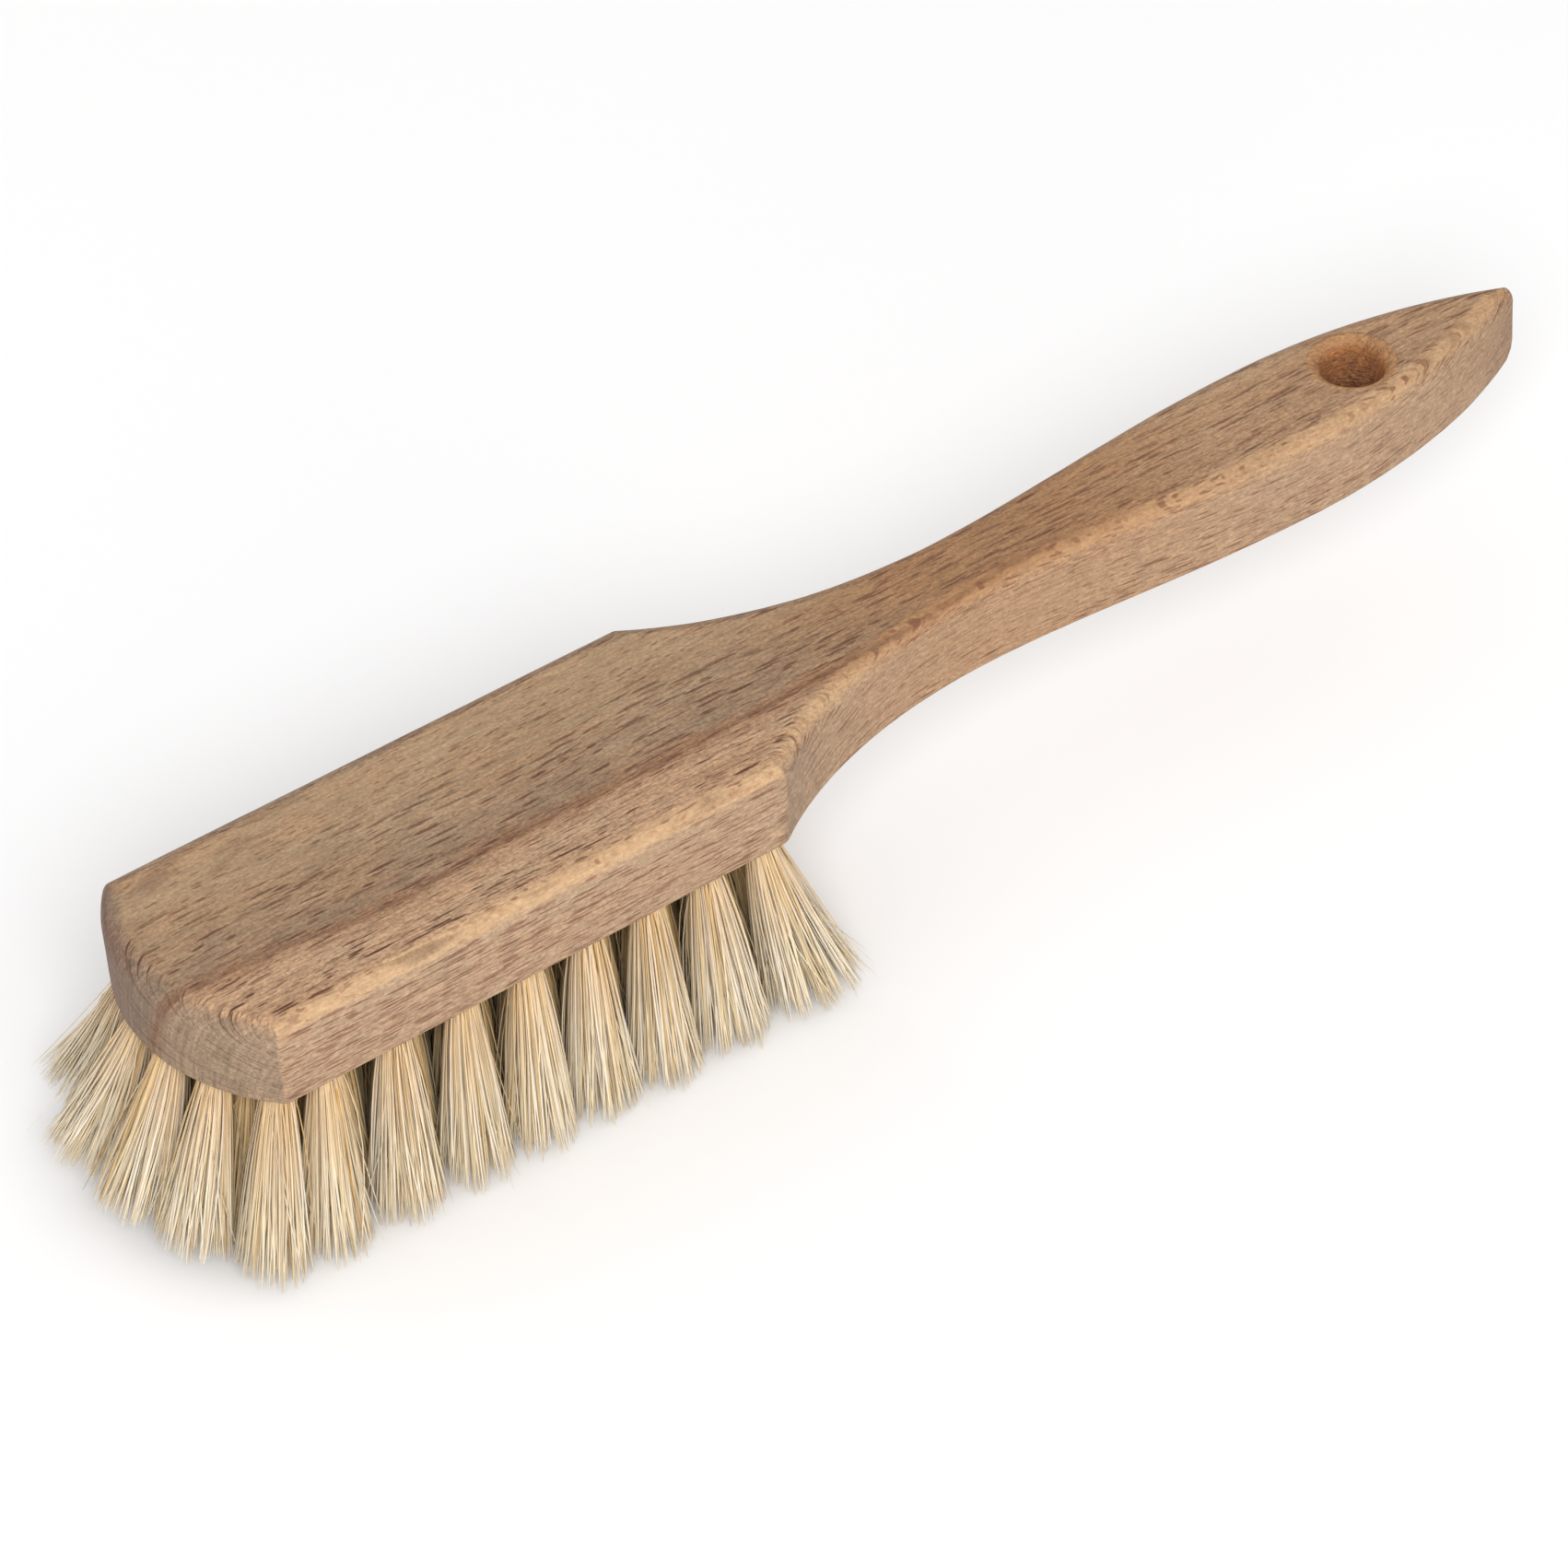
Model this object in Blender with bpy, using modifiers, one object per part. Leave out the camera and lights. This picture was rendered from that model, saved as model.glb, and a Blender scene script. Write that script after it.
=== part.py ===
"""Beech hand brush with fibre tufts: a flat block and handle in one piece, drilled blind
holes on the underside, and a folded tuft held by a wire anchor in each hole.

Metres, +Z up. The brush stands on its trimmed bristles, the handle points along +X, and the
origin is under the middle of its bounding box.
"""

import math
import random

import bmesh
import bpy
from mathutils import Matrix, Vector

# Block and handle, seen from above. X runs from the rounded front to the handle's tip.
HEAD_LENGTH = 0.110
SHOULDER_TO_NECK = 0.053
NECK_TO_GRIP = 0.0665
GRIP_TO_TIP = 0.0505
HEAD_FRONT_WIDTH = 0.048
HEAD_REAR_WIDTH = 0.0468
NECK_WIDTH = 0.0168
GRIP_WIDTH = 0.0246
FRONT_BOW = 0.0095
FRONT_CORNER_RADIUS = 0.0012
SHOULDER_CORNER_RADIUS = 0.0025
SHOULDER_ANGLE = math.radians(36)
TIP_ANGLE = math.radians(28)
TIP_NOSE_RADIUS = 0.0015
# How far each curve of the handle keeps to its direction at either end, as a share of its length
SHOULDER_PULLS = (0.235, 0.48)
GRIP_PULLS = (0.31, 0.42)
TIP_PULLS = (0.45, 0.16)

# Block and handle, in section
BLOCK_THICKNESS = 0.016
TOP_ROUND = 0.0036
BOTTOM_ROUND = 0.0006
FRONT_RAKE = 0.0010

# Hanging hole, its upper edge rounded over and its lower edge broken
HANG_HOLE_FROM_TIP = 0.0342
HANG_HOLE_DIAMETER = 0.0106
HANG_HOLE_ROUND = 0.0026
HANG_HOLE_EDGE_BREAK = 0.0005

# Drilled holes for the tufts
TUFT_HOLE_DIAMETER = 0.0050
TUFT_HOLE_FLOOR = 0.0055
ROW_SPACING = 0.0092
TUFT_PITCH = 0.0123
PITCH_CLOSING = 0.0024
SIDE_INSET = 0.0052
FRONT_INSET = 0.0048
REAR_INSET = 0.0025
FRONT_STEP = 0.0090

# Tufts
ROOT_CLEARANCE = 0.0003
TRIM_LENGTH = 0.0375
TUFT_FLARE_RADIUS = 0.0052
STRAND_TIP_SHARE = 0.42
STRAND_GAP = 0.0006
UNEVEN_LENGTH = 0.0012
FLAT_CUT_DEPTH = 0.0005
FRONT_SPLAY = 0.0095
FRONT_SPLAY_FADE = 0.0090
REAR_SPLAY = 0.0055
REAR_SPLAY_FADE = 0.0130
SIDE_SPLAY = 0.0026
HEEL_RISE = 0.0050
HEEL_RUN = 0.0230

# Wire anchors
ANCHOR_WIRE = 0.0005
ANCHOR_HEIGHT = 0.0016
ANCHOR_DROP = 0.0019
ANCHOR_BITE = 0.0009

# How finely curves are drawn
FRONT_STEPS = 9
CORNER_STEPS = 3
HANDLE_STEPS = 30
ROUND_STEPS = 4
HOLE_SIDES = 12
HANG_HOLE_SIDES = 32
GRID_CELLS = 3
SHARP_ANGLE = math.radians(35)

CUT_BEYOND = 0.003
MERGE_DISTANCE = 1e-6
SEED = 7

BEECH_COLOUR = (0.50, 0.31, 0.18)
BEECH_ROUGHNESS = 0.6
TAMPICO_COLOUR = (0.80, 0.66, 0.42)
TAMPICO_ROUGHNESS = 0.55

OVERALL_LENGTH = HEAD_LENGTH + SHOULDER_TO_NECK + NECK_TO_GRIP + GRIP_TO_TIP
FRONT_RADIUS = ((HEAD_FRONT_WIDTH / 2) ** 2 + FRONT_BOW**2) / (2 * FRONT_BOW)
BLOCK_UNDERSIDE = TRIM_LENGTH
BLOCK_TOP = BLOCK_UNDERSIDE + BLOCK_THICKNESS
TUFT_HOLE_DEPTH = BLOCK_THICKNESS - TUFT_HOLE_FLOOR
ROOT_RADIUS = TUFT_HOLE_DIAMETER / 2 - ROOT_CLEARANCE
ANCHOR_FLAT = 2 * ROOT_RADIUS * math.sin(math.pi / HOLE_SIDES)


def bisect(value, low, high):
    """Where value changes sign between low and high."""
    low_value = value(low)
    for _ in range(50):
        middle = (low + high) / 2
        if (value(middle) > 0) == (low_value > 0):
            low = middle
        else:
            high = middle
    return (low + high) / 2


def front_corner():
    """Where the front arc would meet the straight side."""
    return Vector((FRONT_BOW, HEAD_FRONT_WIDTH / 2))


def side_half_width(x, inset=0.0):
    """Half the head's width at x, for its outline drawn in by inset."""
    start = front_corner()
    slope = (HEAD_REAR_WIDTH / 2 - start.y) / (HEAD_LENGTH - start.x)
    return start.y + slope * (x - start.x) - inset * math.hypot(1, slope)


def side_normal():
    start = front_corner()
    along = Vector((HEAD_LENGTH - start.x, HEAD_REAR_WIDTH / 2 - start.y)).normalized()
    return Vector((-along.y, along.x))


def handle_segments():
    """Three cubic curves: shoulder to neck, neck to grip, grip to tip."""
    shoulder = Vector((HEAD_LENGTH, HEAD_REAR_WIDTH / 2))
    neck = Vector((HEAD_LENGTH + SHOULDER_TO_NECK, NECK_WIDTH / 2))
    grip = Vector((neck.x + NECK_TO_GRIP, GRIP_WIDTH / 2))
    nose = Vector((OVERALL_LENGTH - TIP_NOSE_RADIUS, 0))
    tip = nose + TIP_NOSE_RADIUS * Vector((math.sin(TIP_ANGLE), math.cos(TIP_ANGLE)))
    down = Vector((math.cos(SHOULDER_ANGLE), -math.sin(SHOULDER_ANGLE)))
    back = Vector((-math.cos(TIP_ANGLE), math.sin(TIP_ANGLE)))
    along = Vector((1, 0))

    def curve(start, leaving, end, arriving, length, pulls):
        return (start, start + pulls[0] * length * leaving, end + pulls[1] * length * arriving, end)

    return (
        curve(shoulder, down, neck, -along, SHOULDER_TO_NECK, SHOULDER_PULLS),
        curve(neck, along, grip, -along, NECK_TO_GRIP, GRIP_PULLS),
        curve(grip, along, tip, back, GRIP_TO_TIP, TIP_PULLS),
    )


def handle_point(place):
    """Point and outward normal of the handle's edge. Place runs from 0 at the shoulder to 3."""
    segments = handle_segments()
    index = min(int(place), len(segments) - 1)
    t = place - index
    a, b, c, d = segments[index]
    point = (1 - t) ** 3 * a + 3 * t * (1 - t) ** 2 * b + 3 * t * t * (1 - t) * c + t**3 * d
    slope = (1 - t) ** 2 * (b - a) + 2 * t * (1 - t) * (c - b) + t * t * (d - c)
    slope.normalize()
    return point, Vector((-slope.y, slope.x))


def arc(centre, radius, start, end, steps):
    """Points of an arc between two directions, both ends included."""
    turn = start.angle_signed(end)
    points = []
    for step in range(steps + 1):
        direction = start.copy()
        direction.rotate(Matrix.Rotation(-turn * step / steps, 2))
        points.append(centre + radius * direction)
    return points


def half_outline(inset):
    """The far half of the plan outline, drawn in by inset, with the corners still mitred."""
    reach = max(FRONT_CORNER_RADIUS, inset)
    front_centre = Vector((FRONT_RADIUS, 0))

    def on_front(angle, radius):
        return front_centre + radius * Vector((-math.cos(angle), math.sin(angle)))

    def over_side(angle):
        point = on_front(angle, FRONT_RADIUS - reach)
        return point.y - side_half_width(point.x, reach)

    corner_angle = bisect(over_side, 0.0, math.pi / 2)
    corner = on_front(corner_angle, FRONT_RADIUS - reach)
    points = [
        on_front(corner_angle * step / FRONT_STEPS, FRONT_RADIUS - inset)
        for step in range(FRONT_STEPS)
    ]
    facing_front = Vector((-math.cos(corner_angle), math.sin(corner_angle)))
    points += arc(corner, reach - inset, facing_front, side_normal(), CORNER_STEPS)

    reach = max(SHOULDER_CORNER_RADIUS, inset)

    def drawn_in(place):
        point, normal = handle_point(place)
        return point - reach * normal

    def over_shoulder(place):
        point = drawn_in(place)
        return point.y - side_half_width(point.x, reach)

    start = bisect(over_shoulder, 0.0, 1.0)
    points += arc(
        drawn_in(start), reach - inset, side_normal(), handle_point(start)[1], CORNER_STEPS
    )

    reach = max(TIP_NOSE_RADIUS, inset)
    end = 3.0 if inset <= TIP_NOSE_RADIUS else bisect(lambda place: drawn_in(place).y, 2.0, 3.0)
    for step in range(1, HANDLE_STEPS):
        point, normal = handle_point(start + (end - start) * step / HANDLE_STEPS)
        points.append(point - inset * normal)
    nose = Vector((drawn_in(end).x, 0))
    points += arc(nose, reach - inset, handle_point(end)[1], Vector((1, 0)), CORNER_STEPS)
    return points


def raked(point, height):
    """The front leans back towards the underside."""
    corner = front_corner()
    if point.x > corner.x + FRONT_CORNER_RADIUS:
        return Vector((point.x, max(point.y, 0), height))
    drop = (BLOCK_TOP - TOP_ROUND - height) / (BLOCK_THICKNESS - TOP_ROUND)
    return Vector((point.x + FRONT_RAKE * max(drop, 0), max(point.y, 0), height))


def block_rings():
    """Height and inset of each ring of the block, from the underside up."""
    rings = [(BLOCK_UNDERSIDE, BOTTOM_ROUND), (BLOCK_UNDERSIDE + BOTTOM_ROUND, 0.0)]
    for step in range(ROUND_STEPS + 1):
        angle = math.pi / 2 * step / ROUND_STEPS
        height = BLOCK_TOP - TOP_ROUND + TOP_ROUND * math.sin(angle)
        rings.append((height, TOP_ROUND * (1 - math.cos(angle))))
    return rings


def add_object(name, mesh, collection, material=None):
    obj = bpy.data.objects.new(name, mesh)
    collection.objects.link(obj)
    if material:
        mesh.materials.append(material)
    return obj


def principled(name, colour, roughness):
    material = bpy.data.materials.new(name)
    material.use_nodes = True
    shader = material.node_tree.nodes["Principled BSDF"]
    shader.inputs["Base Color"].default_value = (*colour, 1)
    shader.inputs["Roughness"].default_value = roughness
    return material


def make_block(collection, material):
    """Half of the block, lofted through its rings and mirrored."""
    shape = bmesh.new()
    rings = [
        [shape.verts.new(raked(point, height)) for point in half_outline(inset)]
        for height, inset in block_rings()
    ]
    for lower, upper in zip(rings, rings[1:]):
        for i in range(len(lower) - 1):
            shape.faces.new((lower[i + 1], lower[i], upper[i], upper[i + 1]))
    shape.faces.new(rings[0])
    shape.faces.new(reversed(rings[-1]))
    bmesh.ops.remove_doubles(shape, verts=shape.verts, dist=MERGE_DISTANCE)
    bmesh.ops.dissolve_degenerate(shape, edges=shape.edges, dist=MERGE_DISTANCE)
    mesh = bpy.data.meshes.new("block_and_handle")
    shape.to_mesh(mesh)
    shape.free()
    mesh.shade_smooth()
    mesh.set_sharp_from_angle(angle=SHARP_ANGLE)
    block = add_object("block_and_handle", mesh, collection, material)
    mirror = block.modifiers.new("other_half", "MIRROR")
    mirror.use_axis = (False, True, False)
    mirror.use_clip = True
    mirror.merge_threshold = MERGE_DISTANCE
    return block


def cut(block, name, cutter):
    cutter.hide_render = True
    cutter.display_type = "WIRE"
    boolean = block.modifiers.new(name, "BOOLEAN")
    boolean.operation = "DIFFERENCE"
    boolean.solver = "EXACT"
    boolean.object = cutter


def make_hang_hole_cutter(collection):
    """A turned profile: the bore, with the round over its upper edge and the break below."""
    radius = HANG_HOLE_DIAMETER / 2
    outer = radius + HANG_HOLE_ROUND
    half = BLOCK_THICKNESS / 2
    profile = [(0, half + CUT_BEYOND), (outer, half + CUT_BEYOND)]
    for step in range(ROUND_STEPS + 1):
        angle = math.pi / 2 * step / ROUND_STEPS
        height = half - HANG_HOLE_ROUND * (1 - math.cos(angle))
        profile.append((outer - HANG_HOLE_ROUND * math.sin(angle), height))
    profile += [
        (radius, HANG_HOLE_EDGE_BREAK - half),
        (radius + HANG_HOLE_EDGE_BREAK + CUT_BEYOND, -half - CUT_BEYOND),
        (0, -half - CUT_BEYOND),
    ]
    mesh = bpy.data.meshes.new("hang_hole_cutter")
    edges = [(i, i + 1) for i in range(len(profile) - 1)]
    mesh.from_pydata([(x, 0, z) for x, z in profile], edges, [])
    cutter = add_object("hang_hole_cutter", mesh, collection)
    cutter.location = (OVERALL_LENGTH - HANG_HOLE_FROM_TIP, 0, BLOCK_TOP - half)
    screw = cutter.modifiers.new("turn", "SCREW")
    screw.axis = "Z"
    screw.steps = HANG_HOLE_SIDES
    screw.render_steps = HANG_HOLE_SIDES
    screw.use_merge_vertices = True
    screw.merge_threshold = MERGE_DISTANCE
    return cutter


def front_hole(y):
    """Distance of the front hole of the row at y: along the front arc, one inset inside it."""
    inner = FRONT_RADIUS - FRONT_RAKE - FRONT_INSET
    return FRONT_RADIUS - math.sqrt(max(inner**2 - y**2, 0))


def tuft_places():
    """Rows of hole centres on the underside, staggered, closing up evenly to the shoulders."""
    outer = side_half_width(HEAD_LENGTH / 2) - SIDE_INSET
    rows_a_side = max(1, round(outer / ROW_SPACING))
    first = front_hole(outer) + FRONT_STEP
    last = HEAD_LENGTH - REAR_INSET
    gaps = max(2, round((last - first) / TUFT_PITCH))
    front_pitch = (last - first) / gaps + PITCH_CLOSING / 2

    def distance(count):
        return first + front_pitch * count - PITCH_CLOSING * count * (count - 1) / (gaps - 1) / 2

    rows = []
    for row in range(-rows_a_side, rows_a_side + 1):
        y = outer * row / rows_a_side
        between = (rows_a_side - abs(row)) % 2 == 1
        if between:
            distances = [distance(count - 0.5) for count in range(gaps + 1)] + [HEAD_LENGTH]
        else:
            distances = [distance(count) for count in range(gaps + 1)]
        rows.append([Vector((x, y)) for x in [front_hole(y)] + distances])
    return rows


def splay(place):
    """How far the middle of a tuft's tip lies from its hole, in plan."""
    forward = FRONT_SPLAY * math.exp((FRONT_INSET - place.x) / FRONT_SPLAY_FADE)
    backward = REAR_SPLAY * math.exp((place.x - HEAD_LENGTH + REAR_INSET) / REAR_SPLAY_FADE)
    return Vector((backward - forward, SIDE_SPLAY * place.y / (HEAD_FRONT_WIDTH / 2)))


def tuft_frame(place):
    """Matrix at the mouth of a hole, with +Z along the drill, up into the block."""
    lean = splay(place)
    up = Vector((-lean.x, -lean.y, TRIM_LENGTH)).normalized()
    side = Vector((1, 0, 0))
    side = (side - side.dot(up) * up).normalized()
    turned = Matrix((side, up.cross(side), up)).transposed().to_4x4()
    return Matrix.Translation((place.x, place.y, BLOCK_UNDERSIDE)) @ turned


def half_side_turn():
    """Puts a flat side of each round hole towards +X."""
    return Matrix.Rotation(math.pi / HOLE_SIDES, 4, "Z")


def make_tuft_hole_cutters(places, collection):
    """One mesh of all the drilled holes, and one of the slots that the anchors cut."""
    radius = TUFT_HOLE_DIAMETER / 2
    depth = TUFT_HOLE_DEPTH + CUT_BEYOND
    slot_size = (
        ANCHOR_WIRE + 2 * ROOT_CLEARANCE,
        2 * (radius + ANCHOR_BITE),
        ANCHOR_HEIGHT + 2 * ROOT_CLEARANCE,
    )
    drills = bmesh.new()
    slots = bmesh.new()
    for place in places:
        frame = tuft_frame(place)
        bmesh.ops.create_cone(
            drills,
            cap_ends=True,
            segments=HOLE_SIDES,
            radius1=radius,
            radius2=radius,
            depth=depth,
            matrix=frame @ Matrix.Translation((0, 0, depth / 2 - CUT_BEYOND)) @ half_side_turn(),
        )
        anchor = Matrix.Translation((0, 0, anchor_level()))
        bmesh.ops.create_cube(
            slots, size=1, matrix=frame @ anchor @ Matrix.Diagonal((*slot_size, 1))
        )
    cutters = []
    for name, shape in (("tuft_hole_cutter", drills), ("anchor_slot_cutter", slots)):
        mesh = bpy.data.meshes.new(name)
        shape.to_mesh(mesh)
        shape.free()
        cutters.append(add_object(name, mesh, collection))
    return cutters


def anchor_level():
    """Height of the anchor's middle above the mouth of its hole, near the far end."""
    return TUFT_HOLE_DEPTH - ROOT_CLEARANCE - ANCHOR_DROP


def on_disc(x, y):
    """Carries a square from -1 to 1 onto the unit disc, with its grid of cells."""
    if x == 0 and y == 0:
        return 0.0, 0.0
    if abs(x) > abs(y):
        return x * math.cos(math.pi / 4 * y / x), x * math.sin(math.pi / 4 * y / x)
    return y * math.sin(math.pi / 4 * x / y), y * math.cos(math.pi / 4 * x / y)


def flare_radii(places):
    """How far each tuft may spread at its tip before it would meet a neighbour's."""
    tips = [place + splay(place) for place in places]
    radii = []
    for i, tip in enumerate(tips):
        nearest = min((tip - other).length for j, other in enumerate(tips) if j != i)
        radii.append(min(TUFT_FLARE_RADIUS, (nearest - STRAND_GAP) / 2))
    return radii


def strand_length(tip, chance):
    """Drop of a strand whose tip lies here in plan, below the block's underside."""
    heel = max(0.0, (HEEL_RUN - FRONT_INSET - tip.x) / HEEL_RUN)
    drop = TRIM_LENGTH - HEEL_RISE * heel**2 - chance * UNEVEN_LENGTH
    return TRIM_LENGTH if drop > TRIM_LENGTH - FLAT_CUT_DEPTH else drop


def grow_anchor(shape, sides):
    """Draws the anchor's two ends out of two opposite flats of the root."""
    for face in sides:
        outward = face.normal.copy()
        bmesh.ops.inset_individual(
            shape, faces=[face], thickness=(ANCHOR_FLAT - ANCHOR_WIRE) / 2, use_even_offset=True
        )
        drawn = bmesh.ops.extrude_discrete_faces(shape, faces=[face])["faces"][0]
        bmesh.ops.translate(shape, verts=drawn.verts, vec=outward * ANCHOR_BITE)


def make_tuft(name, place, flare, collection, material, dice):
    """A root that fills the drilled hole, and a strand drawn from each cell of its lower face."""
    frame = tuft_frame(place)
    shape = bmesh.new()
    bmesh.ops.create_grid(shape, x_segments=GRID_CELLS, y_segments=GRID_CELLS, size=1)
    for vert in shape.verts:
        x, y = on_disc(vert.co.x, vert.co.y)
        vert.co = (x * ROOT_RADIUS, y * ROOT_RADIUS, 0)
    cells = list(shape.faces)
    anchor_top = anchor_level() + ANCHOR_HEIGHT / 2
    rim = [edge for edge in shape.edges if edge.is_boundary]
    bites = []
    for level in (anchor_top - ANCHOR_HEIGHT, anchor_top, TUFT_HOLE_DEPTH - ROOT_CLEARANCE):
        grown = bmesh.ops.extrude_edge_only(shape, edges=rim)["geom"]
        rim = [item for item in grown if isinstance(item, bmesh.types.BMEdge) and item.is_boundary]
        for vert in {vert for edge in rim for vert in edge.verts}:
            vert.co.z = level
        if level == anchor_top:
            bites = [item for item in grown if isinstance(item, bmesh.types.BMFace)]
    bmesh.ops.contextual_create(shape, geom=rim)
    bmesh.ops.recalc_face_normals(shape, faces=shape.faces)
    bites.sort(key=lambda face: face.calc_center_median().y)
    grow_anchor(shape, (bites[0], bites[-1]))

    strands = []
    for tip in bmesh.ops.extrude_discrete_faces(shape, faces=cells)["faces"]:
        middle = tip.calc_center_median() / ROOT_RADIUS
        strands.append((middle, [(vert, vert.co / ROOT_RADIUS - middle) for vert in tip.verts]))
    shape.transform(frame)
    lean = splay(place)
    for middle, corners in strands:
        centre = place + lean + flare * middle.xy
        drop = strand_length(centre, dice.random())
        for vert, corner in corners:
            spread = centre + flare * STRAND_TIP_SHARE * corner.xy
            vert.co = (spread.x, spread.y, BLOCK_UNDERSIDE - drop)
    mesh = bpy.data.meshes.new(name)
    shape.to_mesh(mesh)
    shape.free()
    return add_object(name, mesh, collection, material)


def main():
    for obj in list(bpy.data.objects):
        bpy.data.objects.remove(obj)
    parts = bpy.data.collections.new("corner_brush")
    cutters = bpy.data.collections.new("cutters")
    for collection in (parts, cutters):
        bpy.context.scene.collection.children.link(collection)
    beech = principled("beech_sanded", BEECH_COLOUR, BEECH_ROUGHNESS)
    tampico = principled("tampico_fibre", TAMPICO_COLOUR, TAMPICO_ROUGHNESS)

    rows = tuft_places()
    places = [place for row in rows for place in row]
    block = make_block(parts, beech)
    cut(block, "hanging_hole", make_hang_hole_cutter(cutters))
    for cutter in make_tuft_hole_cutters(places, cutters):
        cut(block, cutter.name, cutter)

    flares = iter(flare_radii(places))
    dice = random.Random(SEED)
    for number, row in enumerate(rows, 1):
        for count, place in enumerate(row, 1):
            name = f"bristle_tuft_row{number}_{count:02d}"
            make_tuft(name, place, next(flares), parts, tampico, dice)

    front = min(v.co.x for obj in parts.objects for v in obj.data.vertices)
    middle = bpy.data.objects.new("brush_middle", None)
    parts.objects.link(middle)
    middle.location.x = -(front + OVERALL_LENGTH) / 2
    for obj in list(parts.objects) + list(cutters.objects):
        if obj != middle:
            obj.parent = middle


main()
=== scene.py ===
import math
import random

import bmesh
import bpy
import numpy as np
from mathutils import Matrix, Vector, noise


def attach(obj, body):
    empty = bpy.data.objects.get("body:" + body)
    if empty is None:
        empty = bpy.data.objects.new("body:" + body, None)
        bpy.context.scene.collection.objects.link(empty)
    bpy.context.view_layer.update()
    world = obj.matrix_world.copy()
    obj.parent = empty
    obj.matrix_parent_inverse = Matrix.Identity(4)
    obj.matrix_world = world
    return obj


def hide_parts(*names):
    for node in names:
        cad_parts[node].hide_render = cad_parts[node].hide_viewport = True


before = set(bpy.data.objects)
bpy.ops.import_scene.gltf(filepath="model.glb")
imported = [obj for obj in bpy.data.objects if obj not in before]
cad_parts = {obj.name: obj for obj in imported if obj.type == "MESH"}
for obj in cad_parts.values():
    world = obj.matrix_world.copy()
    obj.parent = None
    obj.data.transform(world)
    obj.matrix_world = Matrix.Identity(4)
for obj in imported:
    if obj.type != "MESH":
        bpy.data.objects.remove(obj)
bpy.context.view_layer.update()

print("brush loaded:", len(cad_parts), "nodes")


def linearColour(hexCode):
    channels = [int(hexCode[i:i + 2], 16) / 255 for i in (1, 3, 5)]
    linear = [c / 12.92 if c <= 0.04045 else ((c + 0.055) / 1.055) ** 2.4 for c in channels]
    return (*linear, 1.0)


# adds one node, sets it up and links it, and gives back the socket to go on from; a MapRange's
# inputs 1 and 2 say from where and 3 and 4 to where, and it is 0 to 1 where they are left out
def addNode(tree, kind, settings, inputs, out=0):
    node = tree.nodes.new("ShaderNode" + kind)
    for name, value in settings.items():
        setattr(node, name, value)
    for key, value in inputs.items():
        if isinstance(value, bpy.types.NodeSocket):
            tree.links.new(value, node.inputs[key])
        else:
            node.inputs[key].default_value = value
    return node.outputs[out] if len(node.outputs) else node


# settings that many nodes share
times = {"operation": "MULTIPLY"}
timesPlus = {"operation": "MULTIPLY_ADD"}
minus = {"operation": "SUBTRACT"}
smooth = {"interpolation_type": "SMOOTHSTEP"}


def newMaterial(name):
    material = bpy.data.materials.new(name)
    material.use_nodes = True
    material.node_tree.nodes.clear()
    return material, material.node_tree


def addPiece(name, mesh, material):
    piece = bpy.data.objects.new(name, mesh)
    bpy.context.scene.collection.objects.link(piece)
    mesh.materials.append(material)
    return piece


# camera: about two metres off, so the long lens keeps the handle from tapering
camera = {
    "place": (-0.952206, -1.28926, 1.39191),
    "right": (0.79484, -0.60634, -0.02415),
    "up": (0.40904, 0.50596, 0.75940),
    "lens": 296.3,
    "sensor": 36.0,
}


def makeCamera():
    data = bpy.data.cameras.new("photo_camera")
    data.lens = camera["lens"]
    data.sensor_width = camera["sensor"]
    data.sensor_fit = "HORIZONTAL"
    data.clip_start = 0.05
    data.clip_end = 20
    right = Vector(camera["right"]).normalized()
    up = Vector(camera["up"])
    up = (up - up.dot(right) * right).normalized()
    turned = Matrix((right, up, right.cross(up))).transposed().to_4x4()
    eye = bpy.data.objects.new("photo_camera", data)
    eye.matrix_world = Matrix.Translation(camera["place"]) @ turned
    bpy.context.scene.collection.objects.link(eye)
    bpy.context.scene.camera = eye


# studio: a broad softbox beside the camera fills every gap that it sees; one more on the
# near side, a low one that looks in under the block and one behind; pale surroundings
studio = {
    # place, size, power and colour
    "softboxes": {
        "front": ((-1.00, -1.44, 1.48), 0.9, 28.0, "#FFFFFF"),
        "key": ((-0.15, -1.45, 1.05), 1.1, 4.0, "#FFFBF5"),
        "low": ((-0.55, -1.50, 0.34), 0.6, 5.0, "#FFF6E8"),
        "back": ((-0.25, 1.35, 0.34), 0.9, 4.0, "#FFF8EC"),
    },
    "aim": (0.0, 0.0, 0.03),
    "world": "#FFFFFF",
    "worldStrength": 0.68,
    "floorColour": "#F6F6F7",
    "floorRadius": 14.0,
    "exposure": 0.0,
}


def makeSoftbox(name, place, size, power, colour):
    data = bpy.data.lights.new(name, "AREA")
    data.shape = "DISK"
    data.size = size
    data.energy = power
    data.color = linearColour(colour)[:3]
    box = bpy.data.objects.new(name, data)
    box.location = place
    aim = Vector(studio["aim"]) - Vector(place)
    box.rotation_euler = aim.to_track_quat("-Z", "Y").to_euler()
    # a box lights the scene but is never in a picture, also not in one from low down
    box.visible_camera = False
    bpy.context.scene.collection.objects.link(box)


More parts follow.
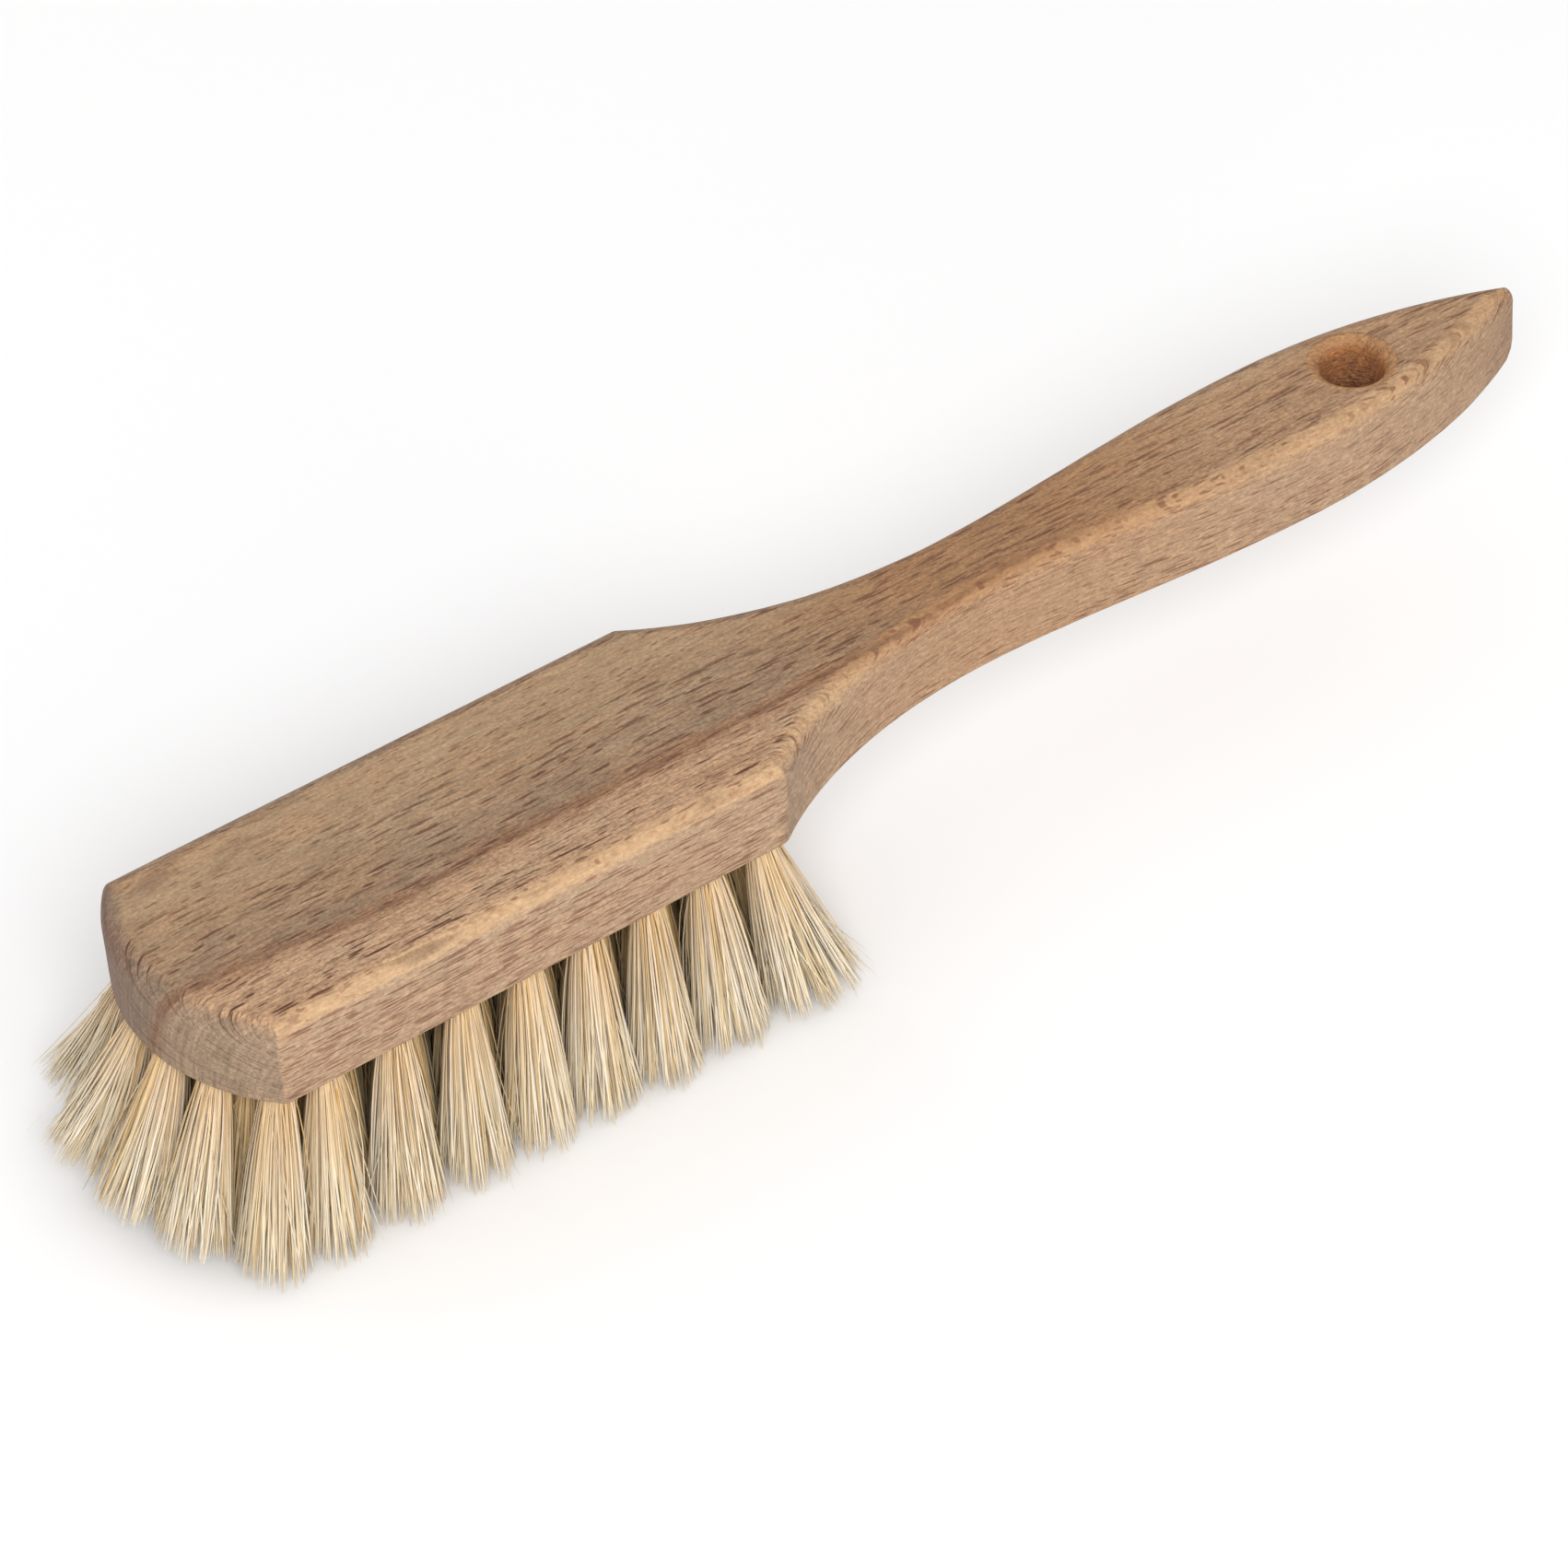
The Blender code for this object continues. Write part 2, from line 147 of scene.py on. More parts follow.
def makeStudio():
    for name, (place, size, power, colour) in studio["softboxes"].items():
        makeSoftbox(name + "_softbox", place, size, power, colour)
    world = bpy.data.worlds.new("pale_room")
    world.use_nodes = True
    background = world.node_tree.nodes["Background"]
    background.inputs["Color"].default_value = linearColour(studio["world"])
    background.inputs["Strength"].default_value = studio["worldStrength"]
    bpy.context.scene.world = world

    view = bpy.context.scene.view_settings
    view.view_transform = "Standard"
    view.look = "None"
    view.exposure = studio["exposure"]

    # matt painted board: nearly white, and no sheen of its own
    paper, tree = newMaterial("painted_board")
    grainPlace = addNode(tree, "TexCoord", {}, {}, "Object")
    grain = addNode(tree, "TexNoise", {}, {
        "Vector": grainPlace, "Scale": 180.0, "Detail": 2.0}, "Fac")
    bump = addNode(tree, "Bump", {}, {"Height": grain, "Strength": 0.15, "Distance": 0.0002})
    paint = addNode(tree, "BsdfPrincipled", {}, {
        "Base Color": linearColour(studio["floorColour"]), "Roughness": 0.9,
        "Specular IOR Level": 0.1, "Normal": bump})
    addNode(tree, "OutputMaterial", {}, {"Surface": paint})

    shape = bmesh.new()
    bmesh.ops.create_circle(shape, cap_ends=True, segments=96, radius=studio["floorRadius"])
    mesh = bpy.data.meshes.new("studio_floor")
    shape.to_mesh(mesh)
    shape.free()
    floor = addPiece("studio_floor", mesh, paper)


makeCamera()
makeStudio()
print("camera and studio set")


# Beech, planed, sanded and left raw: the matt tan face is crossed by short dark
# dashes, the rays, and turns golden where a rounded edge runs along them.
beech = {
    "middle": 0.136756,          # front apex to the origin
    "pith": (-60.0, 22.0),       # where the tree's middle lay, y and z in mm
    "rayTurn": 100.0,            # mm of arc to a radian
    "endPith": (-44.0, 35.0),    # the end grain curls round a nearer knot
    "endTurn": 60.0,
    # the dark stripe on the top: distance from the front apex, and y, in mm
    "stripeRun": (
        (0, -7.2), (20, -8.0), (42, -10.6), (62, -9.4), (84, -9.7), (120, -9.3), (142, -8.4),
        (163, -6.4), (180, -6.0), (197, -8.0), (216, -7.9), (240, -9.6), (280, -11.0)),
    "stripeMiddle": -9.0,        # the y that it keeps near
    "driftReach": 8.0,           # and the most that the rings are pulled off for it
    "ringSpacing": 3.7,
    # how far the wide and the close pattern push the rays, the rings and the end lines, in mm
    "rayWander": (4.0, 0.36), "ringWander": (3.4, 1.0), "lineWander": 5.0,
    # relief in mm: rays lie a little low, the nap and the vessels stand up, the bore is torn
    "rayRelief": -0.07, "napRelief": 0.12, "poreRelief": 0.06, "tornRelief": 0.7,
    "near": "#B18F70",           # between the stripe and the near edge
    "far": "#877059",            # beyond the stripe
    "side": "#A1876D",
    "warm": "#A67B59",
    "pale": "#AC987E",
    "late": "#8A664C",           # the dark part of each ring
    "golden": "#C8A67E",
    "goldenFleck": "#9C663F",
    "endGrain": "#877460",
    # redder, and darker as painted shade, at the far end of the front face
    "endFarRedAndShade": "#735546",
    "handWarmAndShade": "#966538",           # where hands have warmed it, and painted shade on end grain from the shoulder on
    "endLine": "#54392B",
    "stripeShade": "#875837",
    "stripe": "#5C361F",
    "ray": "#4C2B1B",
    "raySide": "#70432E",
    "rim": "#BC8656",
    "bore": "#B27444",
    # the bore's torn fibres, darkened deep down and on the tipward wall as painted shade
    "boreTornAndShade": "#47241A",
    "roughness": 0.68,
    # noise, stretched by so many mm along, across and through the block
    "patterns": {
        "wide": ((55, 26, 26), {"Detail": 1.5, "Roughness": 0.45}),      # slow wander of the grain
        "close": ((3.2, 1.6, 1.6), {"Detail": 2.0}),                     # frays the dashes
        "nap": ((0.8, 0.5, 0.5), {"Detail": 3.0, "Roughness": 0.65}),    # left by the sanding
        "pores": ((3.6, 0.42, 0.42), {"Detail": 2.0}),                   # vessels between the rays
        "tint": ((26, 6, 6), {"Detail": 4.0, "Roughness": 0.6}),         # warm and pale patches
        "fleck": ((1.5, 0.9, 0.9), {"Detail": 2.0, "Distortion": 1.2}),  # in the golden band
        "torn": ((0.9, 0.9, 0.5), {"Detail": 4.0, "Roughness": 0.65}),   # fibres in the bore
    },
    # two kinds of rays: spacing along the grain, between sheets and outward, half length and
    # half thickness, all in mm, and the share of them that is left out
    "rays": (
        (6.0, 0.92, 26.0, (1.1, 4.2), (0.10, 0.19), 0.10),
        (3.2, 0.42, 9.0, (0.6, 1.9), (0.05, 0.085), 0.25)),
}


def makeBeech():
    material, tree = newMaterial("beech_sanded_raw")
    b = beech
    place = addNode(tree, "TexCoord", {}, {}, "Object")
    inMm = addNode(tree, "VectorMath", {"operation": "SCALE"}, {0: place, "Scale": 1000.0})
    x, y, z = addNode(tree, "SeparateXYZ", {}, {0: inMm}).node.outputs
    front, tip = -1000 * b["middle"], 1000 * (overall - b["middle"])
    top = 1000 * (block["underside"] + block["thickness"])

    patterns = {}
    for name, (stretch, settings) in b["patterns"].items():
        scaled = addNode(tree, "VectorMath", times, {0: inMm, 1: [1 / mm for mm in stretch]})
        made = addNode(tree, "TexNoise", {}, {"Vector": scaled, "Scale": 1.0, **settings}).node
        patterns[name] = made.outputs
    nap, pores, fleckNoise, torn = (
        patterns[name]["Fac"] for name in ("nap", "pores", "fleck", "torn"))
    parts = {}
    for name in ("wide", "close", "tint"):
        parts[name] = addNode(tree, "SeparateXYZ", {}, {0: patterns[name]["Color"]}).node.outputs
    wideX, wideY, wideZ = parts["wide"]
    closeX, closeY, closeZ = parts["close"]
    tintX, tintY, _ = parts["tint"]

    # round the pith: distance out is across the rings, arc is across the rays
    outY = addNode(tree, "Math", minus, {0: y, 1: b["pith"][0]})
    outZ = addNode(tree, "Math", minus, {0: z, 1: b["pith"][1]})
    outward = addNode(tree, "CombineXYZ", {}, {"Y": outY, "Z": outZ})
    radius = addNode(tree, "VectorMath", {"operation": "LENGTH"}, {0: outward}, "Value")
    angle = addNode(tree, "Math", {"operation": "ARCTAN2"}, {0: outZ, 1: outY})
    arcPlain = addNode(tree, "Math", times, {0: angle, 1: b["rayTurn"]})
    arcWide = addNode(tree, "Math", timesPlus, {0: wideX, 1: b["rayWander"][0], 2: arcPlain})
    arc = addNode(tree, "Math", timesPlus, {0: closeX, 1: b["rayWander"][1], 2: arcWide})
    trueArc = addNode(tree, "Math", {"operation": "DIVIDE"}, {0: radius, 1: b["rayTurn"]})

    # growth rings, pulled along so that one of them is the stripe that shows on the top
    along = addNode(tree, "MapRange", {}, {0: x, 1: front, 2: tip})
    driftShare = addNode(tree, "FloatCurve", {}, {"Value": along})
    curve = driftShare.node.mapping.curves[0]
    rise = top - b["pith"][1]
    stripeRadius = math.hypot(b["stripeMiddle"] - b["pith"][0], rise)
    reach = b["driftReach"]
    places = []
    for at, side in b["stripeRun"]:
        pull = math.hypot(side - b["pith"][0], rise) - stripeRadius
        places.append((at / (tip - front), pull / (2 * reach) + 0.5))
    curve.points[0].location = places[0]
    curve.points[1].location = places[-1]
    for spot in places[1:-1]:
        curve.points.new(*spot)
    driftShare.node.mapping.update()
    drift = addNode(tree, "Math", timesPlus, {0: driftShare, 1: 2 * reach, 2: -reach})
    settled = addNode(tree, "Math", minus, {0: radius, 1: drift})
    fromStripe = addNode(tree, "Math", minus, {0: settled, 1: stripeRadius + 0.5})
    wavedOut = addNode(tree, "Math", timesPlus, {0: closeY, 1: b["ringWander"][1], 2: fromStripe})
    ringPlace = addNode(tree, "Math", timesPlus, {0: wideY, 1: b["ringWander"][0], 2: wavedOut})
    ringCount = addNode(tree, "Math", {"operation": "DIVIDE"}, {0: ringPlace, 1: b["ringSpacing"]})
    ringPart = addNode(tree, "Math", {"operation": "FRACT"}, {0: ringCount})
    lateWood = addNode(tree, "Math", {"operation": "POWER"}, {0: ringPart, 1: 3.0})
    stripeOff = addNode(tree, "Math", {"operation": "ABSOLUTE"}, {0: wavedOut})
    stripeWide = addNode(tree, "MapRange", smooth, {0: stripeOff, 1: 2.9, 2: 0.2})
    stripeThin = addNode(tree, "MapRange", smooth, {0: stripeOff, 1: 0.9, 2: 0.1})
    stripeFade = addNode(tree, "MapRange", smooth, {0: x, 1: 62.0, 2: 22.0})
    stripeHere = addNode(tree, "MapRange", {}, {0: wideZ, 1: 0.36, 2: 0.56, 3: 0.6, 4: 1.0})
    stripeBroken = addNode(tree, "MapRange", {}, {0: closeZ, 1: 0.35, 2: 0.60, 3: 0.55, 4: 1.0})
    stripeWorn = addNode(tree, "Math", times, {0: stripeHere, 1: stripeBroken})
    stripeStrength = addNode(tree, "Math", times, {0: stripeFade, 1: stripeWorn})
    beyond = addNode(tree, "MapRange", smooth, {0: wavedOut, 1: -2.4, 2: 1.6})

    # which way the surface faces: along the rays, across the grain or on its end
    facing = addNode(tree, "TexCoord", {}, {}, "Normal")
    faceX, _, faceZ = addNode(tree, "SeparateXYZ", {}, {0: facing}).node.outputs
    sine = addNode(tree, "Math", {"operation": "SINE"}, {0: angle})
    back = addNode(tree, "Math", times, {0: sine, 1: -1.0})
    cosine = addNode(tree, "Math", {"operation": "COSINE"}, {0: angle})
    sideways = addNode(tree, "CombineXYZ", {}, {"Y": back, "Z": cosine})
    alignedRaw = addNode(tree, "VectorMath", {"operation": "DOT_PRODUCT"}, {
        0: facing, 1: sideways}, "Value")
    aligned = addNode(tree, "Math", {"operation": "ABSOLUTE"}, {0: alignedRaw})
    goldWave = addNode(tree, "Math", timesPlus, {0: closeZ, 1: 0.05, 2: aligned})
    golden = addNode(tree, "MapRange", smooth, {0: goldWave, 1: 0.86, 2: 1.01})
    endOn = addNode(tree, "Math", {"operation": "ABSOLUTE"}, {0: faceX})
    endGrain = addNode(tree, "MapRange", smooth, {0: endOn, 1: 0.22, 2: 0.75})
    upward = addNode(tree, "MapRange", {}, {0: faceZ, 1: 0.3, 2: 0.9})
    onSide = addNode(tree, "Math", minus, {0: 1.0, 1: upward})
    longGrain = addNode(tree, "Math", minus, {0: 1.0, 1: endGrain})

    # rays: thin blades, long outward, 2 to 8 mm along the grain and 0.1 to 0.3 mm thick;
    # a face that cuts them at a slant, like the far top, shows them broader
    rayMasks = []
    for length, gap, run, halfLong, halfThick, leftOut in b["rays"]:
        spread = addNode(tree, "CombineXYZ", {}, {"X": x, "Y": arc, "Z": radius})
        cells = addNode(tree, "VectorMath", times, {0: spread, 1: (1 / length, 1 / gap, 1 / run)})
        seeds = addNode(tree, "TexVoronoi", {}, {
            "Vector": cells, "Scale": 1.0, "Randomness": 0.95}).node
        off = addNode(tree, "VectorMath", minus, {0: cells, 1: seeds.outputs["Position"]})
        gapHere = addNode(tree, "Math", times, {0: trueArc, 1: gap})
        toMm = addNode(tree, "CombineXYZ", {}, {"X": length, "Y": gapHere, "Z": run})
        offMm = addNode(tree, "VectorMath", times, {0: off, 1: toMm})
        chance = addNode(tree, "SeparateXYZ", {}, {0: seeds.outputs["Color"]}).node.outputs
        longHalf = addNode(tree, "MapRange", {}, {0: chance[0], 3: halfLong[0], 4: halfLong[1]})
        thickHalf = addNode(tree, "MapRange", {}, {0: chance[1], 3: halfThick[0], 4: halfThick[1]})
        sizes = addNode(tree, "CombineXYZ", {}, {"X": longHalf, "Y": thickHalf, "Z": run * 0.45})
        share = addNode(tree, "VectorMath", {"operation": "DIVIDE"}, {0: offMm, 1: sizes})
        spanned = addNode(tree, "VectorMath", {"operation": "LENGTH"}, {0: share}, "Value")
        body = addNode(tree, "MapRange", smooth, {0: spanned, 1: 1.15, 2: 0.65})
        depth = addNode(tree, "MapRange", {}, {0: chance[2], 1: leftOut, 2: 0.7})
        rayMasks.append(addNode(tree, "Math", times, {0: body, 1: depth}))
    bigRay, fineRay = rayMasks

    # on rounded edges and on end grain the same blades show as nested lines, and the rings as
    # soft streaks
    endY = addNode(tree, "Math", minus, {0: y, 1: b["endPith"][0]})
    endZ = addNode(tree, "Math", minus, {0: z, 1: b["endPith"][1]})
    endAngle = addNode(tree, "Math", {"operation": "ARCTAN2"}, {0: endZ, 1: endY})
    sheetPlain = addNode(tree, "Math", times, {0: endAngle, 1: b["endTurn"]})
    sheet = addNode(tree, "Math", timesPlus, {0: wideZ, 1: b["lineWander"], 2: sheetPlain})
    endPlace = addNode(tree, "CombineXYZ", {}, {"Y": endY, "Z": endZ})
    endOut = addNode(tree, "VectorMath", {"operation": "LENGTH"}, {0: endPlace}, "Value")
    linePlace = addNode(tree, "CombineXYZ", {}, {"X": x, "Y": sheet, "Z": endOut})
    lineScaled = addNode(tree, "VectorMath", times, {0: linePlace, 1: (1 / 18, 1 / 0.62, 1 / 10)})
    lineNoise = addNode(tree, "TexNoise", {}, {
        "Vector": lineScaled, "Scale": 1.0, "Detail": 1.0}, "Fac")
    line = addNode(tree, "MapRange", smooth, {0: lineNoise, 1: 0.55, 2: 0.68})
    streakScaled = addNode(tree, "VectorMath", times, {0: linePlace, 1: (1 / 9, 1 / 16, 1 / 0.8)})
    endStreak = addNode(tree, "TexNoise", {}, {
        "Vector": streakScaled, "Scale": 1.0, "Detail": 2.0}, "Fac")
    rounded = addNode(tree, "Math", {"operation": "MAXIMUM"}, {0: golden, 1: endGrain})

    # patches of warmer and paler wood, and flecks
    warmth = addNode(tree, "MapRange", {}, {0: tintX, 1: 0.42, 2: 0.68})
    paleness = addNode(tree, "MapRange", {}, {0: tintY, 1: 0.45, 2: 0.72})
    fleck = addNode(tree, "MapRange", smooth, {0: fleckNoise, 1: 0.54, 2: 0.66})

    # the bore: torn fibres, lighter on its rounded rim; their dark colour grows deeper down and
    # towards the tipward wall, which is painted shade
    boreX = addNode(tree, "Math", minus, {0: x, 1: 1000 * holeX})
    borePlace = addNode(tree, "CombineXYZ", {}, {"X": boreX, "Y": y})
    across = addNode(tree, "VectorMath", {"operation": "LENGTH"}, {0: borePlace}, "Value")
    boreRadius = 500 * block["holeDiameter"]
    rimRadius = boreRadius + 1000 * block["holeRound"]
    inBore = addNode(tree, "MapRange", smooth, {
        0: across, 1: boreRadius + 0.8, 2: boreRadius + 0.05})
    onRim = addNode(tree, "MapRange", smooth, {0: across, 1: rimRadius, 2: rimRadius - 0.8})
    tornDark = addNode(tree, "MapRange", {}, {0: torn, 1: 0.44, 2: 0.60})
    deepBoreShade = addNode(tree, "MapRange", {}, {0: z, 1: top - 1.0, 2: top - 9.5, 3: 0.1, 4: 1.0})
    tipwardShade = addNode(tree, "MapRange", {}, {0: boreX, 1: -4.0, 2: 3.0, 3: 0.25, 4: 1.0})
    boreShadeWeight = addNode(tree, "Math", times, {0: deepBoreShade, 1: tipwardShade})
    boreShade = addNode(tree, "Math", times, {0: tornDark, 1: boreShadeWeight})

    # the far end of the front face is painted redder and darker, partly its own colour and partly
    # painted shade; hands have warmed the handle, and its end grain is painted darker as shade
    farEnd = addNode(tree, "MapRange", smooth, {0: y, 1: -8.0, 2: 14.0})
    frontEnd = addNode(tree, "MapRange", {}, {0: x, 1: -110.0, 2: -122.0})
    farFrontRedAndShade = addNode(tree, "Math", times, {0: farEnd, 1: frontEnd})
    towardHandle = addNode(tree, "MapRange", smooth, {0: x, 1: -25.0, 2: 25.0})
    spared = addNode(tree, "MapRange", smooth, {0: x, 1: 45.0, 2: 85.0, 3: 1.0, 4: 0.35})
    handled = addNode(tree, "Math", times, {0: towardHandle, 1: spared})
    rayFade = addNode(tree, "MapRange", {}, {0: towardHandle, 3: 1.0, 4: 0.52})
    rayTop = addNode(tree, "Math", times, {0: upward, 1: rayFade})
    beyondFade = addNode(tree, "MapRange", {}, {0: x, 1: 20.0, 2: 70.0, 3: 1.0, 4: 0.45})
    lineFade = addNode(tree, "MapRange", {}, {0: x, 1: -110.0, 2: -60.0, 3: 1.0, 4: 0.55})
    lineHere = addNode(tree, "Math", times, {0: rounded, 1: lineFade})
    tinted = addNode(tree, "MapRange", {}, {0: upward, 3: 0.35, 4: 1.0})
    offBand = addNode(tree, "MapRange", {}, {0: golden, 1: 0.0, 2: 0.7, 3: 1.0, 4: 0.15})
    clearRay = addNode(tree, "Math", times, {0: bigRay, 1: offBand})
    handledTop = addNode(tree, "MapRange", {}, {0: upward, 3: 0.45, 4: 0.85})

    # from the ground colour up: what is mixed in, where, and how strongly
    colour = linearColour(b["near"])
    for where, also, weight, over in (
            (beyond, beyondFade, 1.0, "far"),
            (onSide, longGrain, 0.9, "side"),
            (warmth, tinted, 0.40, "warm"),
            (paleness, tinted, 0.38, "pale"),
            (lateWood, upward, 0.32, "late"),
            (golden, 1.0, 0.52, "golden"),
            (handled, handledTop, 0.60, "handWarmAndShade"),
            (fleck, golden, 0.30, "goldenFleck"),
            (endGrain, 1.0, 0.75, "endGrain"),
            # partly the wood's own colour, partly painted shade
            (endGrain, farFrontRedAndShade, 0.75, "endFarRedAndShade"),
            # painted shade: end grain from the shoulder to the tip, turned away from the light, is
            # painted darker
            (endGrain, towardHandle, 0.36, "handWarmAndShade"),
            (stripeWide, stripeStrength, 0.58, "stripeShade"),
            (stripeThin, stripeStrength, 0.62, "stripe"),
            (clearRay, longGrain, 0.72, "raySide"),
            (clearRay, rayTop, 0.82, "ray"),
            (fineRay, longGrain, 0.66, "raySide"),
            (line, lineHere, 0.45, "endLine"),
            (onRim, 1.0, 0.60, "rim"),
            (inBore, 1.0, 0.75, "bore"),
            # painted shade: the torn fibres darken with depth and on the tipward wall
            (inBore, boreShade, 0.85, "boreTornAndShade")):
        amount = addNode(tree, "Math", times, {0: where, 1: also})
        amount = addNode(tree, "Math", {"operation": "MULTIPLY", "use_clamp": True}, {
            0: amount, 1: weight})
        colour = addNode(tree, "Mix", {"data_type": "RGBA"}, {
            0: amount, 6: colour, 7: linearColour(b[over])}, 2)

    napShade = addNode(tree, "MapRange", {}, {0: nap, 1: 0.25, 2: 0.75, 3: 0.56, 4: 1.44})
    poreShade = addNode(tree, "MapRange", {}, {0: pores, 1: 0.3, 2: 0.7, 3: 0.77, 4: 1.23})
    streakShade = addNode(tree, "MapRange", {}, {0: endStreak, 1: 0.3, 2: 0.7, 3: -0.26, 4: 0.16})
    streakOnEnd = addNode(tree, "Math", timesPlus, {0: streakShade, 1: endGrain, 2: 1.0})
    grained = addNode(tree, "Math", times, {0: napShade, 1: poreShade})
    calmSide = addNode(tree, "MapRange", {}, {0: upward, 3: 0.7, 4: 1.0})
    calmBand = addNode(tree, "MapRange", {}, {0: golden, 1: 0.0, 2: 0.8, 3: 1.0, 4: 0.55})
    calm = addNode(tree, "Math", times, {0: calmSide, 1: calmBand})
    grainedPart = addNode(tree, "Math", minus, {0: grained, 1: 1.0})
    shade = addNode(tree, "Math", timesPlus, {0: grainedPart, 1: calm, 2: 1.0})
    shade = addNode(tree, "Math", times, {0: shade, 1: streakOnEnd})
    colour = addNode(tree, "VectorMath", {"operation": "SCALE"}, {0: colour, "Scale": shade})

    lowRay = addNode(tree, "Math", times, {0: bigRay, 1: b["rayRelief"]})
    napHeight = addNode(tree, "Math", timesPlus, {0: nap, 1: b["napRelief"], 2: lowRay})
    height = addNode(tree, "Math", timesPlus, {0: pores, 1: b["poreRelief"], 2: napHeight})
    tornHeight = addNode(tree, "Math", times, {0: torn, 1: onRim})
    height = addNode(tree, "Math", timesPlus, {0: tornHeight, 1: b["tornRelief"], 2: height})
    bump = addNode(tree, "Bump", {}, {"Height": height, "Strength": 1.0, "Distance": 0.001})
    even = b["roughness"]
    rough = addNode(tree, "MapRange", {}, {0: nap, 1: 0.2, 2: 0.8, 3: even - 0.07, 4: even + 0.08})
    wood = addNode(tree, "BsdfPrincipled", {}, {
        "Base Color": colour, "Roughness": rough, "IOR": 1.5,
        "Specular IOR Level": 0.35, "Normal": bump})
    addNode(tree, "OutputMaterial", {}, {"Surface": wood})
    return material


# block and handle, one piece of beech; lengths in metres, x measured from the front apex
block = {
    "headLength": 0.110, "shoulderToNeck": 0.053, "neckToGrip": 0.0665, "gripToTip": 0.0505,
    "frontWidth": 0.048, "rearWidth": 0.0468, "neckWidth": 0.0168, "gripWidth": 0.0246,
    "frontBow": 0.0095, "frontCorner": 0.0012, "shoulderCorner": 0.0025,
    "shoulderAngle": math.radians(36), "tipAngle": math.radians(28), "tipNose": 0.0015,
    "shoulderPulls": (0.235, 0.48), "gripPulls": (0.31, 0.42), "tipPulls": (0.45, 0.16),
    "underside": 0.0375, "thickness": 0.016, "topRound": 0.0036, "bottomRound": 0.0006,
    "flatRing": 0.0003,          # a ring of flat face inside the rounded edges
    "frontRake": 0.0010,
    "sharpFrom": math.radians(38),
    "holeFromTip": 0.0342, "holeDiameter": 0.0106, "holeRound": 0.0026, "holeBreak": 0.0005,
    "drillDiameter": 0.0050, "drillDepth": 0.0105, "drillStart": 0.003,
    "unevenness": 0.00007,       # hand sanding leaves it this far from true
    "unevenWaves": (70, 190),    # in waves to the metre, broad and close
    "unevenLevel": 0.8,          # the waves start from this much taken off
    "trueFaces": (0.0002, 0.0001),    # the flat faces stay true, with this much at their edges
    # sanding also rounds the tip's lower edge: by how much, from how far back and how high
    # up, and by what share it is narrower there
    "tipFoot": 0.0013, "tipFootRun": 0.020, "tipFootRise": 0.0045, "tipFootNarrow": 0.16,
}
overall = block["headLength"] + block["shoulderToNeck"] + block["neckToGrip"] + block["gripToTip"]
holeX = overall - block["holeFromTip"] - beech["middle"]


def signChange(value, low, high):
    lowValue = value(low)
    for _ in range(50):
        middle = (low + high) / 2
        if (value(middle) > 0) == (lowValue > 0):
            low = middle
        else:
            high = middle
    return (low + high) / 2


def handlePoint(place):
    k = block
    shoulder = Vector((k["headLength"], k["rearWidth"] / 2))
    neck = Vector((k["headLength"] + k["shoulderToNeck"], k["neckWidth"] / 2))
    grip = Vector((neck.x + k["neckToGrip"], k["gripWidth"] / 2))
    nose = Vector((overall - k["tipNose"], 0))
    tip = nose + k["tipNose"] * Vector((math.sin(k["tipAngle"]), math.cos(k["tipAngle"])))
    down = Vector((math.cos(k["shoulderAngle"]), -math.sin(k["shoulderAngle"])))
    back = Vector((-math.cos(k["tipAngle"]), math.sin(k["tipAngle"])))
    forth = Vector((1, 0))
    runs = (
        (shoulder, down, neck, -forth, k["shoulderToNeck"], k["shoulderPulls"]),
        (neck, forth, grip, -forth, k["neckToGrip"], k["gripPulls"]),
        (grip, forth, tip, back, k["gripToTip"], k["tipPulls"]),
    )
    index = min(int(place), 2)
    t = place - index
    start, leaving, end, arriving, length, pulls = runs[index]
    p = (start, start + pulls[0] * length * leaving, end + pulls[1] * length * arriving, end)
    u = 1 - t
    spot = u ** 3 * p[0] + 3 * t * u ** 2 * p[1] + 3 * t * t * u * p[2] + t ** 3 * p[3]
    slope = u ** 2 * (p[1] - p[0]) + 2 * t * u * (p[2] - p[1]) + t * t * (p[3] - p[2])
    slope.normalize()
    return spot, Vector((-slope.y, slope.x))


def arcPoints(centre, radius, start, end, steps):
    turn = start.angle_signed(end)
    points = []
    for step in range(steps + 1):
        direction = start.copy()
        direction.rotate(Matrix.Rotation(-turn * step / steps, 2))
        points.append(centre + radius * direction)
    return points


